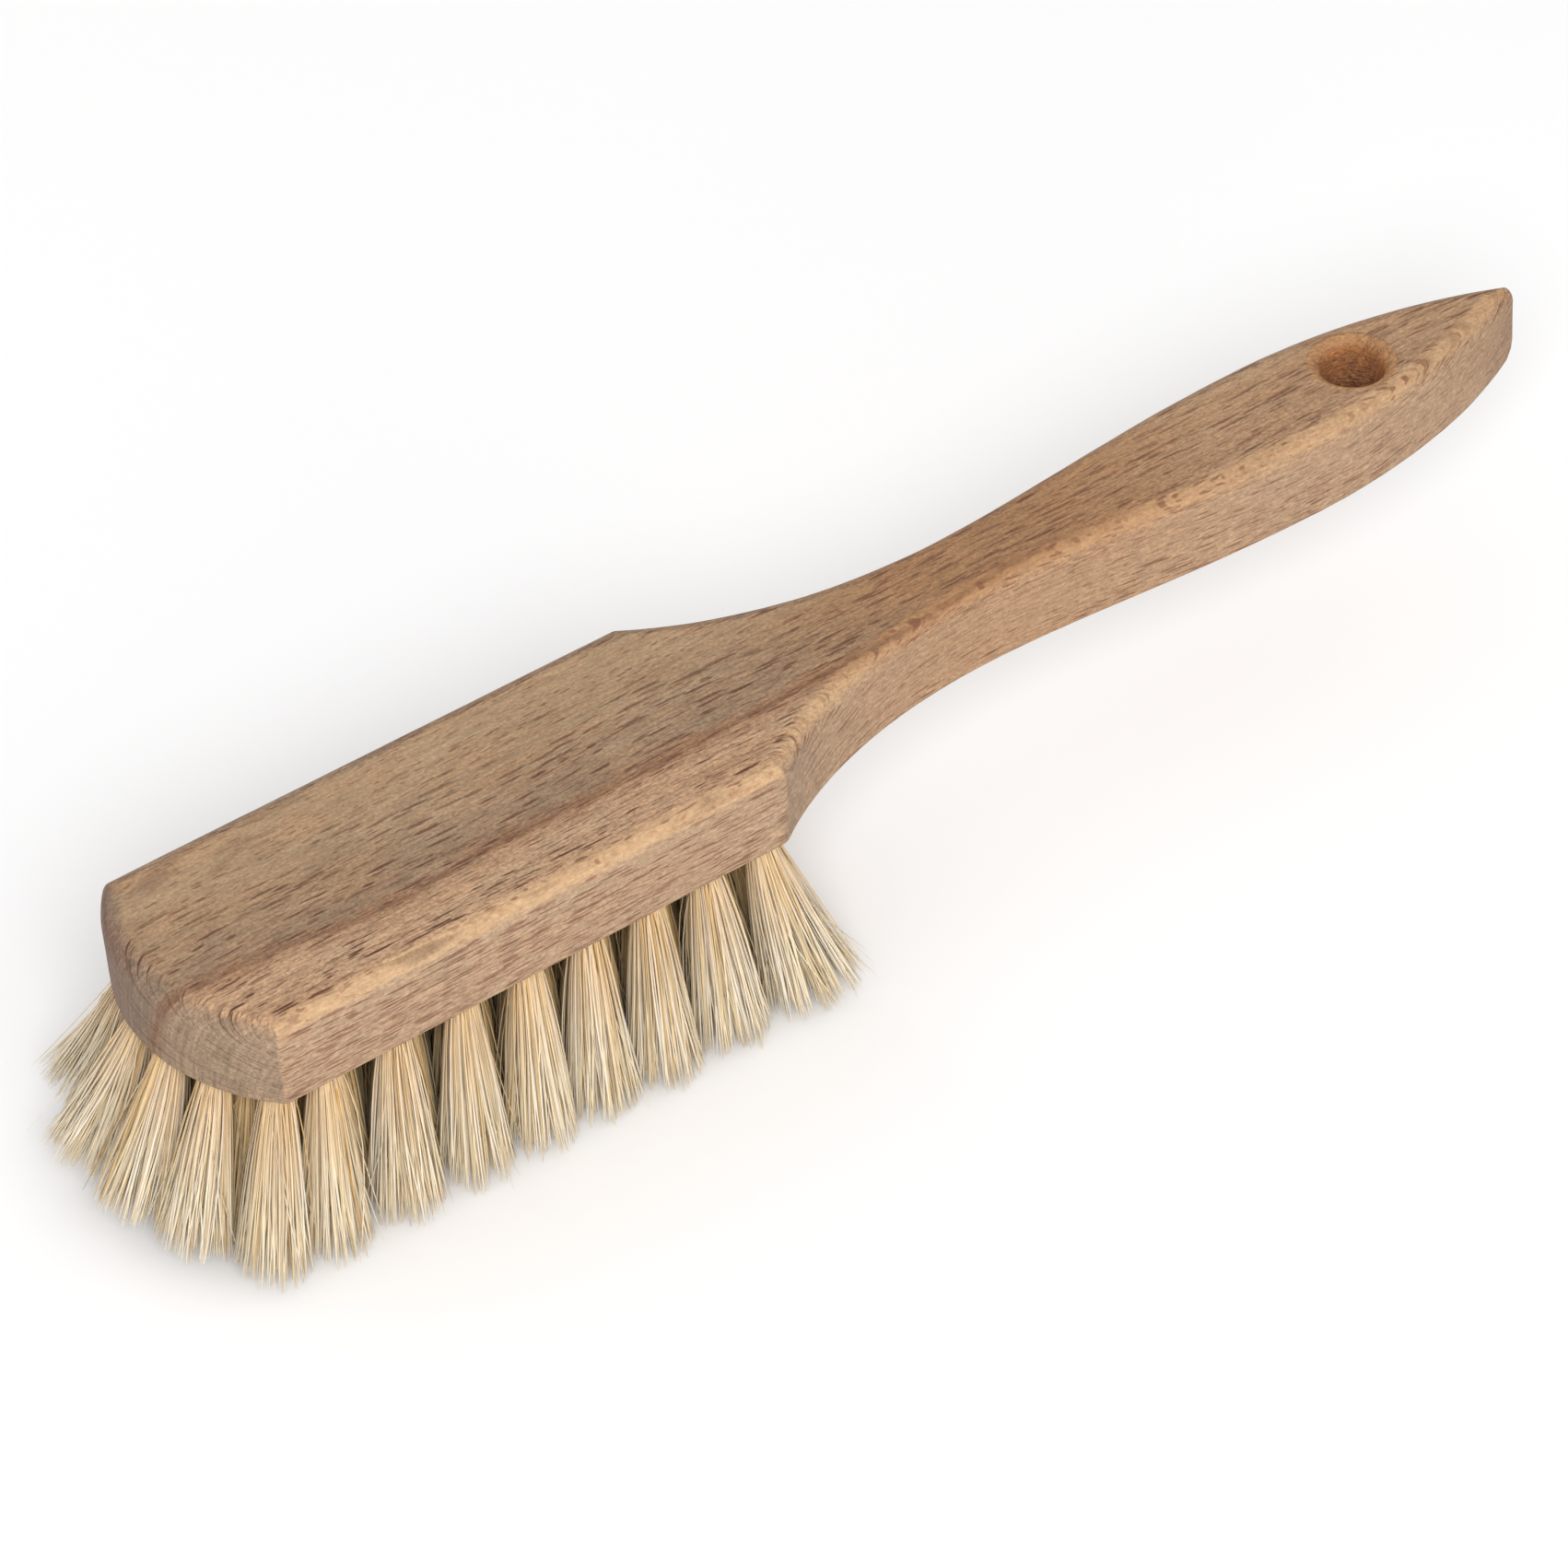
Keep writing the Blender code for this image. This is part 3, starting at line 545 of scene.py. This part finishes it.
# far half of the outline seen from above, drawn in by inset
def halfOutline(inset, frontSteps=22, cornerSteps=8, sideSteps=24, handleSteps=110):
    k = block
    bow = k["frontBow"]
    frontRadius = ((k["frontWidth"] / 2) ** 2 + bow ** 2) / (2 * bow)
    corner = Vector((bow, k["frontWidth"] / 2))
    slope = (k["rearWidth"] / 2 - corner.y) / (k["headLength"] - corner.x)
    sideNormal = Vector((-slope, 1)).normalized()

    def halfWidth(x, reach):
        return corner.y + slope * (x - corner.x) - reach * math.hypot(1, slope)

    def onFront(angle, radius):
        return Vector((frontRadius - radius * math.cos(angle), radius * math.sin(angle)))

    reach = max(k["frontCorner"], inset)

    def overSide(angle):
        spot = onFront(angle, frontRadius - reach)
        return spot.y - halfWidth(spot.x, reach)

    cornerAngle = signChange(overSide, 0.0, math.pi / 2)
    points = []
    for step in range(frontSteps):
        points.append(onFront(cornerAngle * step / frontSteps, frontRadius - inset))
    ahead = Vector((-math.cos(cornerAngle), math.sin(cornerAngle)))
    turning = onFront(cornerAngle, frontRadius - reach)
    points += arcPoints(turning, reach - inset, ahead, sideNormal, cornerSteps)

    reach = max(k["shoulderCorner"], inset)

    def drawnIn(place):
        spot, normal = handlePoint(place)
        return spot - reach * normal

    def overShoulder(place):
        spot = drawnIn(place)
        return spot.y - halfWidth(spot.x, reach)

    start = signChange(overShoulder, 0.0, 1.0)
    ring = arcPoints(drawnIn(start), reach - inset, sideNormal, handlePoint(start)[1], cornerSteps)
    # a few points along the straight side, so that sanding can wander there
    last = points[-1]
    points += [last.lerp(ring[0], step / sideSteps) for step in range(1, sideSteps)]
    points += ring

    reach = max(k["tipNose"], inset)
    end = 3.0 if inset <= k["tipNose"] else signChange(lambda place: drawnIn(place).y, 2.0, 3.0)
    for step in range(1, handleSteps):
        spot, normal = handlePoint(start + (end - start) * step / handleSteps)
        points.append(spot - inset * normal)
    turning = Vector((drawnIn(end).x, 0))
    points += arcPoints(turning, reach - inset, handlePoint(end)[1], Vector((1, 0)), cornerSteps)
    return points


# height and inset of the outlines that the block is skinned over, from its underside up
def blockRings(footSteps=4, wallSteps=6, topSteps=12):
    k = block
    foot, footRound = k["underside"], k["bottomRound"]
    top, topRound = foot + k["thickness"], k["topRound"]
    rounding = []
    for step in range(footSteps + 1):
        angle = math.pi / 2 * step / footSteps
        inset = footRound * (1 - math.cos(angle)) if step else 0.0
        rounding.append((foot + footRound * (1 - math.sin(angle)), inset))
    rings = [(foot, footRound + k["flatRing"])] + sorted(rounding, key=lambda ring: ring[0])
    wallFoot, wallHead = foot + footRound, top - topRound
    for step in range(1, wallSteps):
        rings.append((wallFoot + (wallHead - wallFoot) * step / wallSteps, 0.0))
    for step in range(topSteps + 1):
        angle = math.pi / 2 * step / topSteps
        rings.append((top - topRound * (1 - math.sin(angle)), topRound * (1 - math.cos(angle))))
    rings.append((top, topRound + k["flatRing"]))
    return rings


# the front face leans in a little towards its lower edge
def lean(point, height):
    k = block
    if point.x > k["frontBow"] + k["frontCorner"]:
        return point.x
    top = k["underside"] + k["thickness"]
    drop = (top - k["topRound"] - height) / (k["thickness"] - k["topRound"])
    return point.x + k["frontRake"] * max(drop, 0)


def makeBlockMesh(weld=2e-6):
    k = block
    shape = bmesh.new()
    rings = []
    for height, inset in blockRings():
        half = halfOutline(inset)
        spots = [(lean(p, height), max(p.y, 0.0)) for p in half]
        whole = spots + [(px, -py) for px, py in reversed(spots[1:-1])]
        rings.append([shape.verts.new((px - beech["middle"], py, height)) for px, py in whole])
    for lower, upper in zip(rings, rings[1:]):
        for i in range(len(lower)):
            j = (i + 1) % len(lower)
            shape.faces.new((lower[j], lower[i], upper[i], upper[j]))
    shape.faces.new(rings[0])
    shape.faces.new(list(reversed(rings[-1])))
    bmesh.ops.remove_doubles(shape, verts=shape.verts, dist=weld)
    bmesh.ops.dissolve_degenerate(shape, edges=shape.edges, dist=weld)
    bmesh.ops.recalc_face_normals(shape, faces=shape.faces)
    # drawn in only, so that it never leaves the solid's own box
    shape.normal_update()
    broad, close = k["unevenWaves"]
    low = k["underside"] + k["trueFaces"][0]
    high = k["underside"] + k["thickness"] - k["trueFaces"][1]
    for vert in shape.verts:
        if low < vert.co.z < high:
            wander = noise.noise(vert.co * broad) + 0.5 * noise.noise(vert.co * close)
            vert.co -= vert.normal * k["unevenness"] * (k["unevenLevel"] + wander)
    tipEnd = max(vert.co.x for vert in shape.verts)
    for vert in shape.verts:
        ahead = max(0.0, 1 - (tipEnd - vert.co.x) / k["tipFootRun"]) ** 2
        down = max(0.0, 1 - (vert.co.z - k["underside"]) / k["tipFootRise"])
        vert.co.x -= k["tipFoot"] * ahead * down ** 2
        vert.co.y *= 1 - k["tipFootNarrow"] * ahead * down ** 2
    mesh = bpy.data.meshes.new("beech_block")
    shape.to_mesh(mesh)
    shape.free()
    return mesh


def cutterObject(name, shape):
    mesh = bpy.data.meshes.new(name)
    shape.to_mesh(mesh)
    shape.free()
    cutter = bpy.data.objects.new(name, mesh)
    bpy.context.scene.collection.objects.link(cutter)
    return cutter


# the drill and the round-over bit that make the hanging hole, standing past both faces
def makeHangingCutter(sides=72, roundSteps=10, past=0.003):
    k = block
    radius = k["holeDiameter"] / 2
    outer = radius + k["holeRound"]
    top = k["underside"] + k["thickness"]
    foot = k["underside"]
    profile = [(outer + 0.0002, top + past), (outer, top + 0.00001)]
    for step in range(1, roundSteps + 1):
        angle = math.pi / 2 * step / roundSteps
        sunk = k["holeRound"] * (1 - math.cos(angle))
        profile.append((outer - k["holeRound"] * math.sin(angle), top - sunk))
    profile += [(radius, foot + k["holeBreak"]), (radius + k["holeBreak"] + past, foot - past)]
    shape = bmesh.new()
    rings = []
    for r, height in profile:
        ring = []
        for i in range(sides):
            angle = 2 * math.pi * i / sides
            spot = (holeX + r * math.cos(angle), r * math.sin(angle), height)
            ring.append(shape.verts.new(spot))
        rings.append(ring)
    for upper, lower in zip(rings, rings[1:]):
        for i in range(sides):
            j = (i + 1) % sides
            shape.faces.new((upper[i], lower[i], lower[j], upper[j]))
    shape.faces.new(rings[0])
    shape.faces.new(rings[-1])
    bmesh.ops.recalc_face_normals(shape, faces=shape.faces)
    return cutterObject("hanging_hole_drill", shape)


# mouth, drill direction and tip of every tuft, read from its solid in thin slices
def readTufts(band=0.0012, tipsUnder=0.012):
    tufts = []
    for name in sorted(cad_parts):
        if not name.startswith("bristle_tuft"):
            continue
        spots = {tuple(round(c, 6) for c in v.co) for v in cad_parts[name].data.vertices}
        cloud = np.array(sorted(spots))
        deep = cloud[cloud[:, 2] > cloud[:, 2].max() - band]
        mouth = cloud[np.abs(cloud[:, 2] - block["underside"]) < band]
        tips = cloud[cloud[:, 2] < tipsUnder]
        mouthMiddle = Vector(mouth.mean(axis=0))
        up = (Vector(deep.mean(axis=0)) - mouthMiddle).normalized()
        tip = Vector(tips.mean(axis=0))
        flare = float(np.hypot(tips[:, 0] - tip.x, tips[:, 1] - tip.y).max())
        tufts.append({"name": name, "mouth": mouthMiddle, "up": up, "tip": tip, "flare": flare})
    return tufts


def makeDrills(tufts, sides=28):
    shape = bmesh.new()
    radius = block["drillDiameter"] / 2
    start = block["drillStart"]
    depth = block["drillDepth"] + start
    for tuft in tufts:
        turn = tuft["up"].to_track_quat("Z", "Y").to_matrix().to_4x4()
        spot = Matrix.Translation(tuft["mouth"] + tuft["up"] * (depth / 2 - start))
        bmesh.ops.create_cone(shape, cap_ends=True, segments=sides, radius1=radius,
                              radius2=radius, depth=depth, matrix=spot @ turn)
    return cutterObject("tuft_drills", shape)


def makeBlock(tufts, material):
    piece = addPiece("beech_block_and_handle", makeBlockMesh(), material)
    cutters = [makeHangingCutter(), makeDrills(tufts)]
    for cutter in cutters:
        cut = piece.modifiers.new(cutter.name, "BOOLEAN")
        cut.operation = "DIFFERENCE"
        cut.solver = "EXACT"
        cut.object = cutter
    graph = bpy.context.evaluated_depsgraph_get()
    graph.update()
    finished = bpy.data.meshes.new_from_object(piece.evaluated_get(graph))
    piece.modifiers.clear()
    piece.data = finished
    for cutter in cutters:
        bpy.data.objects.remove(cutter)
    finished.shade_smooth()
    finished.set_sharp_from_angle(angle=block["sharpFrom"])
    even = piece.modifiers.new("flat_faces_lead", "WEIGHTED_NORMAL")
    even.keep_sharp = True
    even.weight = 100
    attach(piece, "root")
    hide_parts("block_and_handle")
    return piece


# Agave fibre (tampico), combed, folded into its hole and trimmed: stiff, cream to straw
# and golden, each fibre of its own shade, so that a tuft shows as fine streaks.
fibre = {
    "perTuft": 380,
    "fanCrowd": 45,              # more fibres where use has spread a tuft, to the metre
    "diameter": (0.00026, 0.00042),
    "taper": 0.02,               # thinner by this share at each step along
    "pointWidth": 0.22,
    "rootRadius": 0.00232,
    "rootDepth": 0.0060,
    "seedTurn": 2.399963,        # the golden angle, so that the fibres fill the hole evenly
    "seedWander": 0.2,
    "guide": (0.20, 0.14),       # how far along it still points out of the hole, and how much
    "stepPower": 0.9,
    "uneven": 0.0010,            # the trimmed ends differ by about this
    "unevenShare": 0.4,          # times this
    "clumps": 62,
    "fanClumps": 16,
    "wideFan": 0.005,            # a tuft pressed out farther than this has the fan's clumps
    "clumpPull": 0.55,
    "clumpPoint": 0.0017,        # fibres at the rim of a clump end this much higher
    "spread": 1.50,
    "aimWander": 0.08,
    "crowding": 0.44,            # 0.5 spreads the tips evenly, less sends more to the rim
    "bend": 0.0005,
    # loose fibres: their share, how far they go, and how they rise, bend and thin out
    "stray": 0.045, "strayReach": 1.9, "strayAim": 0.6,
    "strayLift": 1.4, "strayBend": 2.6, "strayThin": 0.75,
    # use has worn the front ones shorter: by how much, over what length and from where
    "wornRise": 0.0050, "wornRun": 0.0230, "frontInset": 0.0048,
    # tufts at two corners that use has pressed outward: how far their tips went
    "fans": {
        "row5_01": (-0.0022, 0.0080, 0.0042), "row4_01": (-0.0040, 0.0034, 0.0024),
        "row5_02": (-0.0010, 0.0050, 0.0018), "row3_01": (-0.0012, 0.0006, 0.0006),
        "row1_09": (0.0044, -0.0006, 0.0010), "row1_08": (0.0012, 0.0, 0.0),
    },
    # a fibre follows its tuft's fan by this share, more on the side it leans to
    "fanShare": 0.62, "fanLean": 0.55, "fanWander": 0.12, "fanLeast": 0.1, "fanMost": 1.25,
    "farthest": 0.0350,          # no tip goes farther to the far side than this
    "sides": 3,
    "steps": 7,
    "flutes": 64,
    "fluteDepth": 0.07,
    "bundle": 0.76,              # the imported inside, as a share of the tuft's radius
    "bundleNarrow": 0.84,        # and how much of that would be left at the tips
    "bundleReach": 0.80,         # but it ends at this share of their length
    "bundleThin": 30,            # less of both in a fan, to the metre
    "bundleRagged": (0.05, 0.04),
    "bundleRings": (0.7, 0.4),   # its end is closed over these
    # painted shade: the bundle's tones are kept golden, so the shade between the outer fibres shows
    # golden
    "bundleShadeTone": (0.10, 0.3),
    # on the texture: where the bundle's strips start, and how much stays clear
    "bundleFrom": 0.84, "stripGap": 0.06, "stripEdge": 0.01,
    # how far the outer side of a fibre is shaded as part of its tuft's skin
    "skinRadius": 0.0025, "skinSlope": 1.4, "skinStart": 0.35,
    "skinLeast": 0.15, "skinHides": 0.66,
    "tones": (3.6, 2.2),         # most fibres are pale, few are golden
    "shades": (
        (0.0, "#B07A3C"), (0.08, "#CF9F5E"), (0.24, "#E5CB9B"),
        (0.5, "#EEDDBC"), (0.8, "#F4E8D2"), (1.0, "#F9F2E6")),
    "innerRows": ("row2", "row3", "row4"),
    "innerShadeTone": 0.42,           # painted shade: the inner rows, seen only through the gaps, are painted more golden
    # painted shade: the golden that the fibres turn towards the block
    "golden": "#E0B069",
    "roughness": 0.5,
    "translucent": 0.20,
    "seed": 21,
}


def makeFibreMaterial():
    material, tree = newMaterial("tampico_fibre_trimmed")
    tone = addNode(tree, "Attribute", {"attribute_name": "fibreTone"}, {}, "Fac")
    run = addNode(tree, "Attribute", {"attribute_name": "fibreRun"}, {}, "Fac")
    ramp = addNode(tree, "ValToRGB", {}, {"Fac": tone})
    stops = ramp.node.color_ramp.elements
    while len(stops) < len(fibre["shades"]):
        stops.new(0.5)
    for stop, (place, shade) in zip(stops, fibre["shades"]):
        stop.position = place
        stop.color = linearColour(shade)
    # painted shade: near the block the fibres are painted more golden, standing in for the warm
    # shade under the block and between the tufts
    rootShade = addNode(tree, "MapRange", {}, {0: run, 1: 0.10, 2: 0.75, 3: 0.62, 4: 0.0})
    golden = addNode(tree, "Mix", {"data_type": "RGBA"}, {
        0: rootShade, 6: ramp, 7: linearColour(fibre["golden"])}, 2)
    # each fibre changes shade every few millimetres, each in a way of its own
    ofItsOwn = addNode(tree, "Math", times, {0: tone, 1: 173.0})
    alongIt = addNode(tree, "Math", times, {0: run, 1: 9.0})
    spot = addNode(tree, "CombineXYZ", {}, {"X": ofItsOwn, "Y": alongIt})
    streak = addNode(tree, "TexNoise", {}, {"Vector": spot, "Scale": 1.0, "Detail": 2.0}, "Fac")
    shade = addNode(tree, "MapRange", {}, {0: streak, 1: 0.25, 2: 0.75, 3: 0.86, 4: 1.10})
    colour = addNode(tree, "VectorMath", {"operation": "SCALE"}, {0: golden, "Scale": shade})
    even = fibre["roughness"]
    rough = addNode(tree, "MapRange", {}, {
        0: streak, 1: 0.2, 2: 0.8, 3: even - 0.06, 4: even + 0.08})
    stalk = addNode(tree, "BsdfPrincipled", {}, {
        "Base Color": colour, "Roughness": rough, "IOR": 1.5, "Specular IOR Level": 0.3})
    # thin plant fibre lets light through, so the gaps between tufts glow instead of going black
    glow = addNode(tree, "BsdfTranslucent", {}, {"Color": colour})
    both = addNode(tree, "MixShader", {}, {0: fibre["translucent"], 1: stalk, 2: glow})
    addNode(tree, "OutputMaterial", {}, {"Surface": both})
    return material


# the trim is flat, but rises where the front is worn
def tipHeight(spot):
    k = fibre
    worn = max(0.0, (k["wornRun"] - k["frontInset"] - (spot.x + beech["middle"])) / k["wornRun"])
    return k["wornRise"] * worn ** 2


def makeTuft(tuft, material, dice):
    k = fibre
    across = tuft["up"].orthogonal().normalized()
    other = tuft["up"].cross(across)
    still = Vector()
    row, place = tuft["name"].split("_")[-2:]
    fan = Vector(k["fans"].get(row + "_" + place, still))
    clumpCount = k["fanClumps"] if fan.length > k["wideFan"] else k["clumps"]
    # painted shade: the inner rows get darker, more golden tones
    inside = row in k["innerRows"] and place != "01"
    innerShadeScale = k["innerShadeTone"] if inside else 1.0
    clumps = []
    while len(clumps) < clumpCount:
        spot = Vector((dice.uniform(-1, 1), dice.uniform(-1, 1)))
        if spot.length < 1.0:
            clumps.append(spot * k["spread"])
    clumpReach = k["spread"] / math.sqrt(clumpCount)

    # seat and aim say where a fibre leaves the hole and where it ends, as shares of the tuft's
    # radius there; tips are placed in plan, so their frame is the world's; reach is how much
    # of the way to its tip it goes
    def course(seat, aim, lift, wander, bow, reach=1.0):
        root = tuft["mouth"] + (across * seat.x + other * seat.y) * k["rootRadius"]
        plan = (across * aim.x + other * aim.y).xy
        share = 0.0
        if fan.length > 0:
            toward = plan.dot(fan.xy.normalized()) / k["spread"]
            share = k["fanShare"] + k["fanLean"] * toward + wander
            share = min(k["fanMost"], max(k["fanLeast"], share))
        end = tuft["tip"].xy + plan * tuft["flare"] + fan.xy * share
        end.y = min(end.y, k["farthest"])
        tip = Vector((end.x, end.y, tipHeight(end) + lift + fan.z * share))
        ahead, straight = k["guide"]
        guide = root.lerp(tip, ahead) - tuft["up"] * (tip - root).length * straight
        spots = [root + tuft["up"] * k["rootDepth"]]
        for step in range(k["steps"]):
            t = reach * (step / (k["steps"] - 1)) ** k["stepPower"]
            curve = (1 - t) ** 2 * root + 2 * t * (1 - t) * guide + t * t * tip
            spots.append(curve + bow * math.sin(math.pi * t))
        return spots

    points, faces, tones, runs, uvs, normals = [], [], [], [], [], []

    # one face of a fibre or flute, and its place between left and right on the texture
    def addFace(corners, left, right, start, end):
        room = 1 - 2 * k["stripEdge"]
        low, high = k["stripEdge"] + room * start, k["stripEdge"] + room * end
        faces.append(corners)
        uvs.extend([(right, low), (left, low), (left, high), (right, high)])

    steps, sides = k["steps"], k["sides"]
    middle = course(Vector((0, 0)), Vector((0, 0)), 0.0, 0.0, still)
    count = round(k["perTuft"] * (1 + k["fanCrowd"] * fan.length))
    strip = k["bundleFrom"] / count
    for number in range(count):
        part = (number + 0.5) / count
        turn = number * k["seedTurn"] + dice.uniform(-k["seedWander"], k["seedWander"])
        outward = Vector((math.cos(turn), math.sin(turn)))
        off = Vector((dice.gauss(0, k["aimWander"]), dice.gauss(0, k["aimWander"])))
        aim = outward * part ** k["crowding"] * k["spread"] + off
        nearest = min(clumps, key=lambda spot: (spot - aim).length)
        offClump = min(1.0, (aim - nearest).length / clumpReach)
        aim = aim.lerp(nearest, k["clumpPull"] * dice.uniform(0.5, 1.0))
        lift = k["clumpPoint"] * offClump ** 2 + abs(dice.gauss(0, k["unevenShare"])) * k["uneven"]
        stray = dice.random() < k["stray"]
        if stray:
            aim = Vector((dice.gauss(0, k["strayAim"]), dice.gauss(0, k["strayAim"])))
            aim *= k["strayReach"]
            if aim.length > k["strayReach"]:
                aim *= k["strayReach"] / aim.length
            lift += k["strayLift"] * dice.random() * k["uneven"]
        bow = (across * dice.gauss(0, 1) + other * dice.gauss(0, 1)) * k["bend"]
        bow *= k["strayBend"] if stray else 1.0
        spots = course(outward * part ** 0.5, aim, lift, dice.gauss(0, k["fanWander"]), bow)
        thick = dice.uniform(*k["diameter"]) / 2 * (k["strayThin"] if stray else 1.0)
        tone = dice.betavariate(*k["tones"]) * innerShadeScale
        first = len(points)
        spin = dice.uniform(0, 2 * math.pi)
        for step, spot in enumerate(spots):
            width = thick * (1 - k["taper"] * step) * (k["pointWidth"] if step == steps else 1.0)
            # a fibre's outer side is shaded as part of the tuft's skin, its inner side as a stalk
            skin = spot - middle[step]
            skin = skin / max(skin.length, k["skinRadius"])
            for side in range(sides):
                angle = spin + 2 * math.pi * side / sides
                away = across * math.cos(angle) + other * math.sin(angle)
                rim = spot + away * width
                outer = min(1.0, max(0.0, away.dot(skin) * k["skinSlope"] + k["skinStart"]))
                skinShare = k["skinLeast"] + (1 - k["skinLeast"]) * outer
                shaded = away * (1.0 - k["skinHides"] * outer) + skin * skinShare
                normals.append(shaded.normalized())
                points.append((rim.x, rim.y, max(rim.z, 0.0)))
                tones.append(tone)
                runs.append(step / steps)
        gap = k["stripGap"]
        for step in range(steps):
            for side in range(sides):
                a = first + step * sides + side
                b = first + step * sides + (side + 1) % sides
                near, far = ((1 - 2 * gap) * share / sides for share in (side, side + 1))
                left, right = (number + gap + near) * strip, (number + gap + far) * strip
                addFace((b, a, a + sides, b + sides), left, right, step / steps, (step + 1) / steps)
        end = first + steps * sides
        faces.append(tuple(end + side for side in reversed(range(sides))))
        uvs += [((number + 0.5) * strip, 1 - k["stripEdge"] / 2)] * sides

    # the packed fibres inside, which only show between the outer ones, as one fluted bundle
    flutes, rings = k["flutes"], steps + 1 + len(k["bundleRings"])
    ragged, raggedInside = k["bundleRagged"]
    least, more = k["bundleShadeTone"]
    thin = k["bundleThin"] * fan.length
    bundleStart = k["bundleFrom"] + k["stripEdge"]
    strip = (1 - k["stripEdge"] - bundleStart) / flutes
    first = len(points)
    for flute in range(flutes):
        turn = 2 * math.pi * flute / flutes
        radius = k["bundle"] if flute % 2 else k["bundle"] - k["fluteDepth"]
        out = Vector((math.cos(turn), math.sin(turn))) * radius
        reach = k["bundleReach"] - thin - dice.random() * ragged
        end = out * (k["bundleNarrow"] - thin) * k["spread"]
        spots = course(out, end, 0.0, 0.0, still, reach)
        for inner in k["bundleRings"]:
            inwardReach = reach + dice.random() * raggedInside
            spots.append(course(out * inner, end * inner, 0.0, 0.0, still, inwardReach)[-1])
        # golden tones on the bundle paint the shade between the outer fibres
        tone = (least + more * dice.random()) * innerShadeScale
        for step, spot in enumerate(spots):
            points.append(tuple(spot))
            normals.append((0.0, 0.0, 0.0))
            tones.append(tone)
            runs.append(min(step, steps) / steps)
    for flute in range(flutes):
        after = (flute + 1) % flutes
        left, right = bundleStart + strip * flute, bundleStart + strip * (flute + 1)
        for ring in range(rings - 1):
            a, b = first + flute * rings + ring, first + after * rings + ring
            addFace((b, a, a + 1, b + 1), left, right, ring / (rings - 1), (ring + 1) / (rings - 1))
    faces.append(tuple(first + flute * rings + rings - 1 for flute in reversed(range(flutes))))
    uvs += [(1 - k["stripEdge"], 1 - k["stripEdge"] / 2)] * flutes

    mesh = bpy.data.meshes.new(tuft["name"].replace("bristle_tuft", "fibre_tuft"))
    mesh.from_pydata(points, [], faces)
    for attribute, values in (("fibreTone", tones), ("fibreRun", runs)):
        mesh.attributes.new(attribute, "FLOAT", "POINT").data.foreach_set("value", values)
    mesh.uv_layers.new(name="OFBake").data.foreach_set("uv", [c for uv in uvs for c in uv])
    mesh.shade_smooth()
    mesh.update()
    mesh.normals_split_custom_set_from_vertices(normals)
    piece = addPiece(mesh.name, mesh, material)
    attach(piece, "root")
    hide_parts(tuft["name"])


tufts = readTufts()
blockPiece = makeBlock(tufts, makeBeech())
print("block cut:", len(blockPiece.data.polygons), "faces")

fibreMaterial = makeFibreMaterial()
fibreDice = random.Random(fibre["seed"])
for tuft in tufts:
    makeTuft(tuft, fibreMaterial, fibreDice)
print("tufts set:", len(tufts))
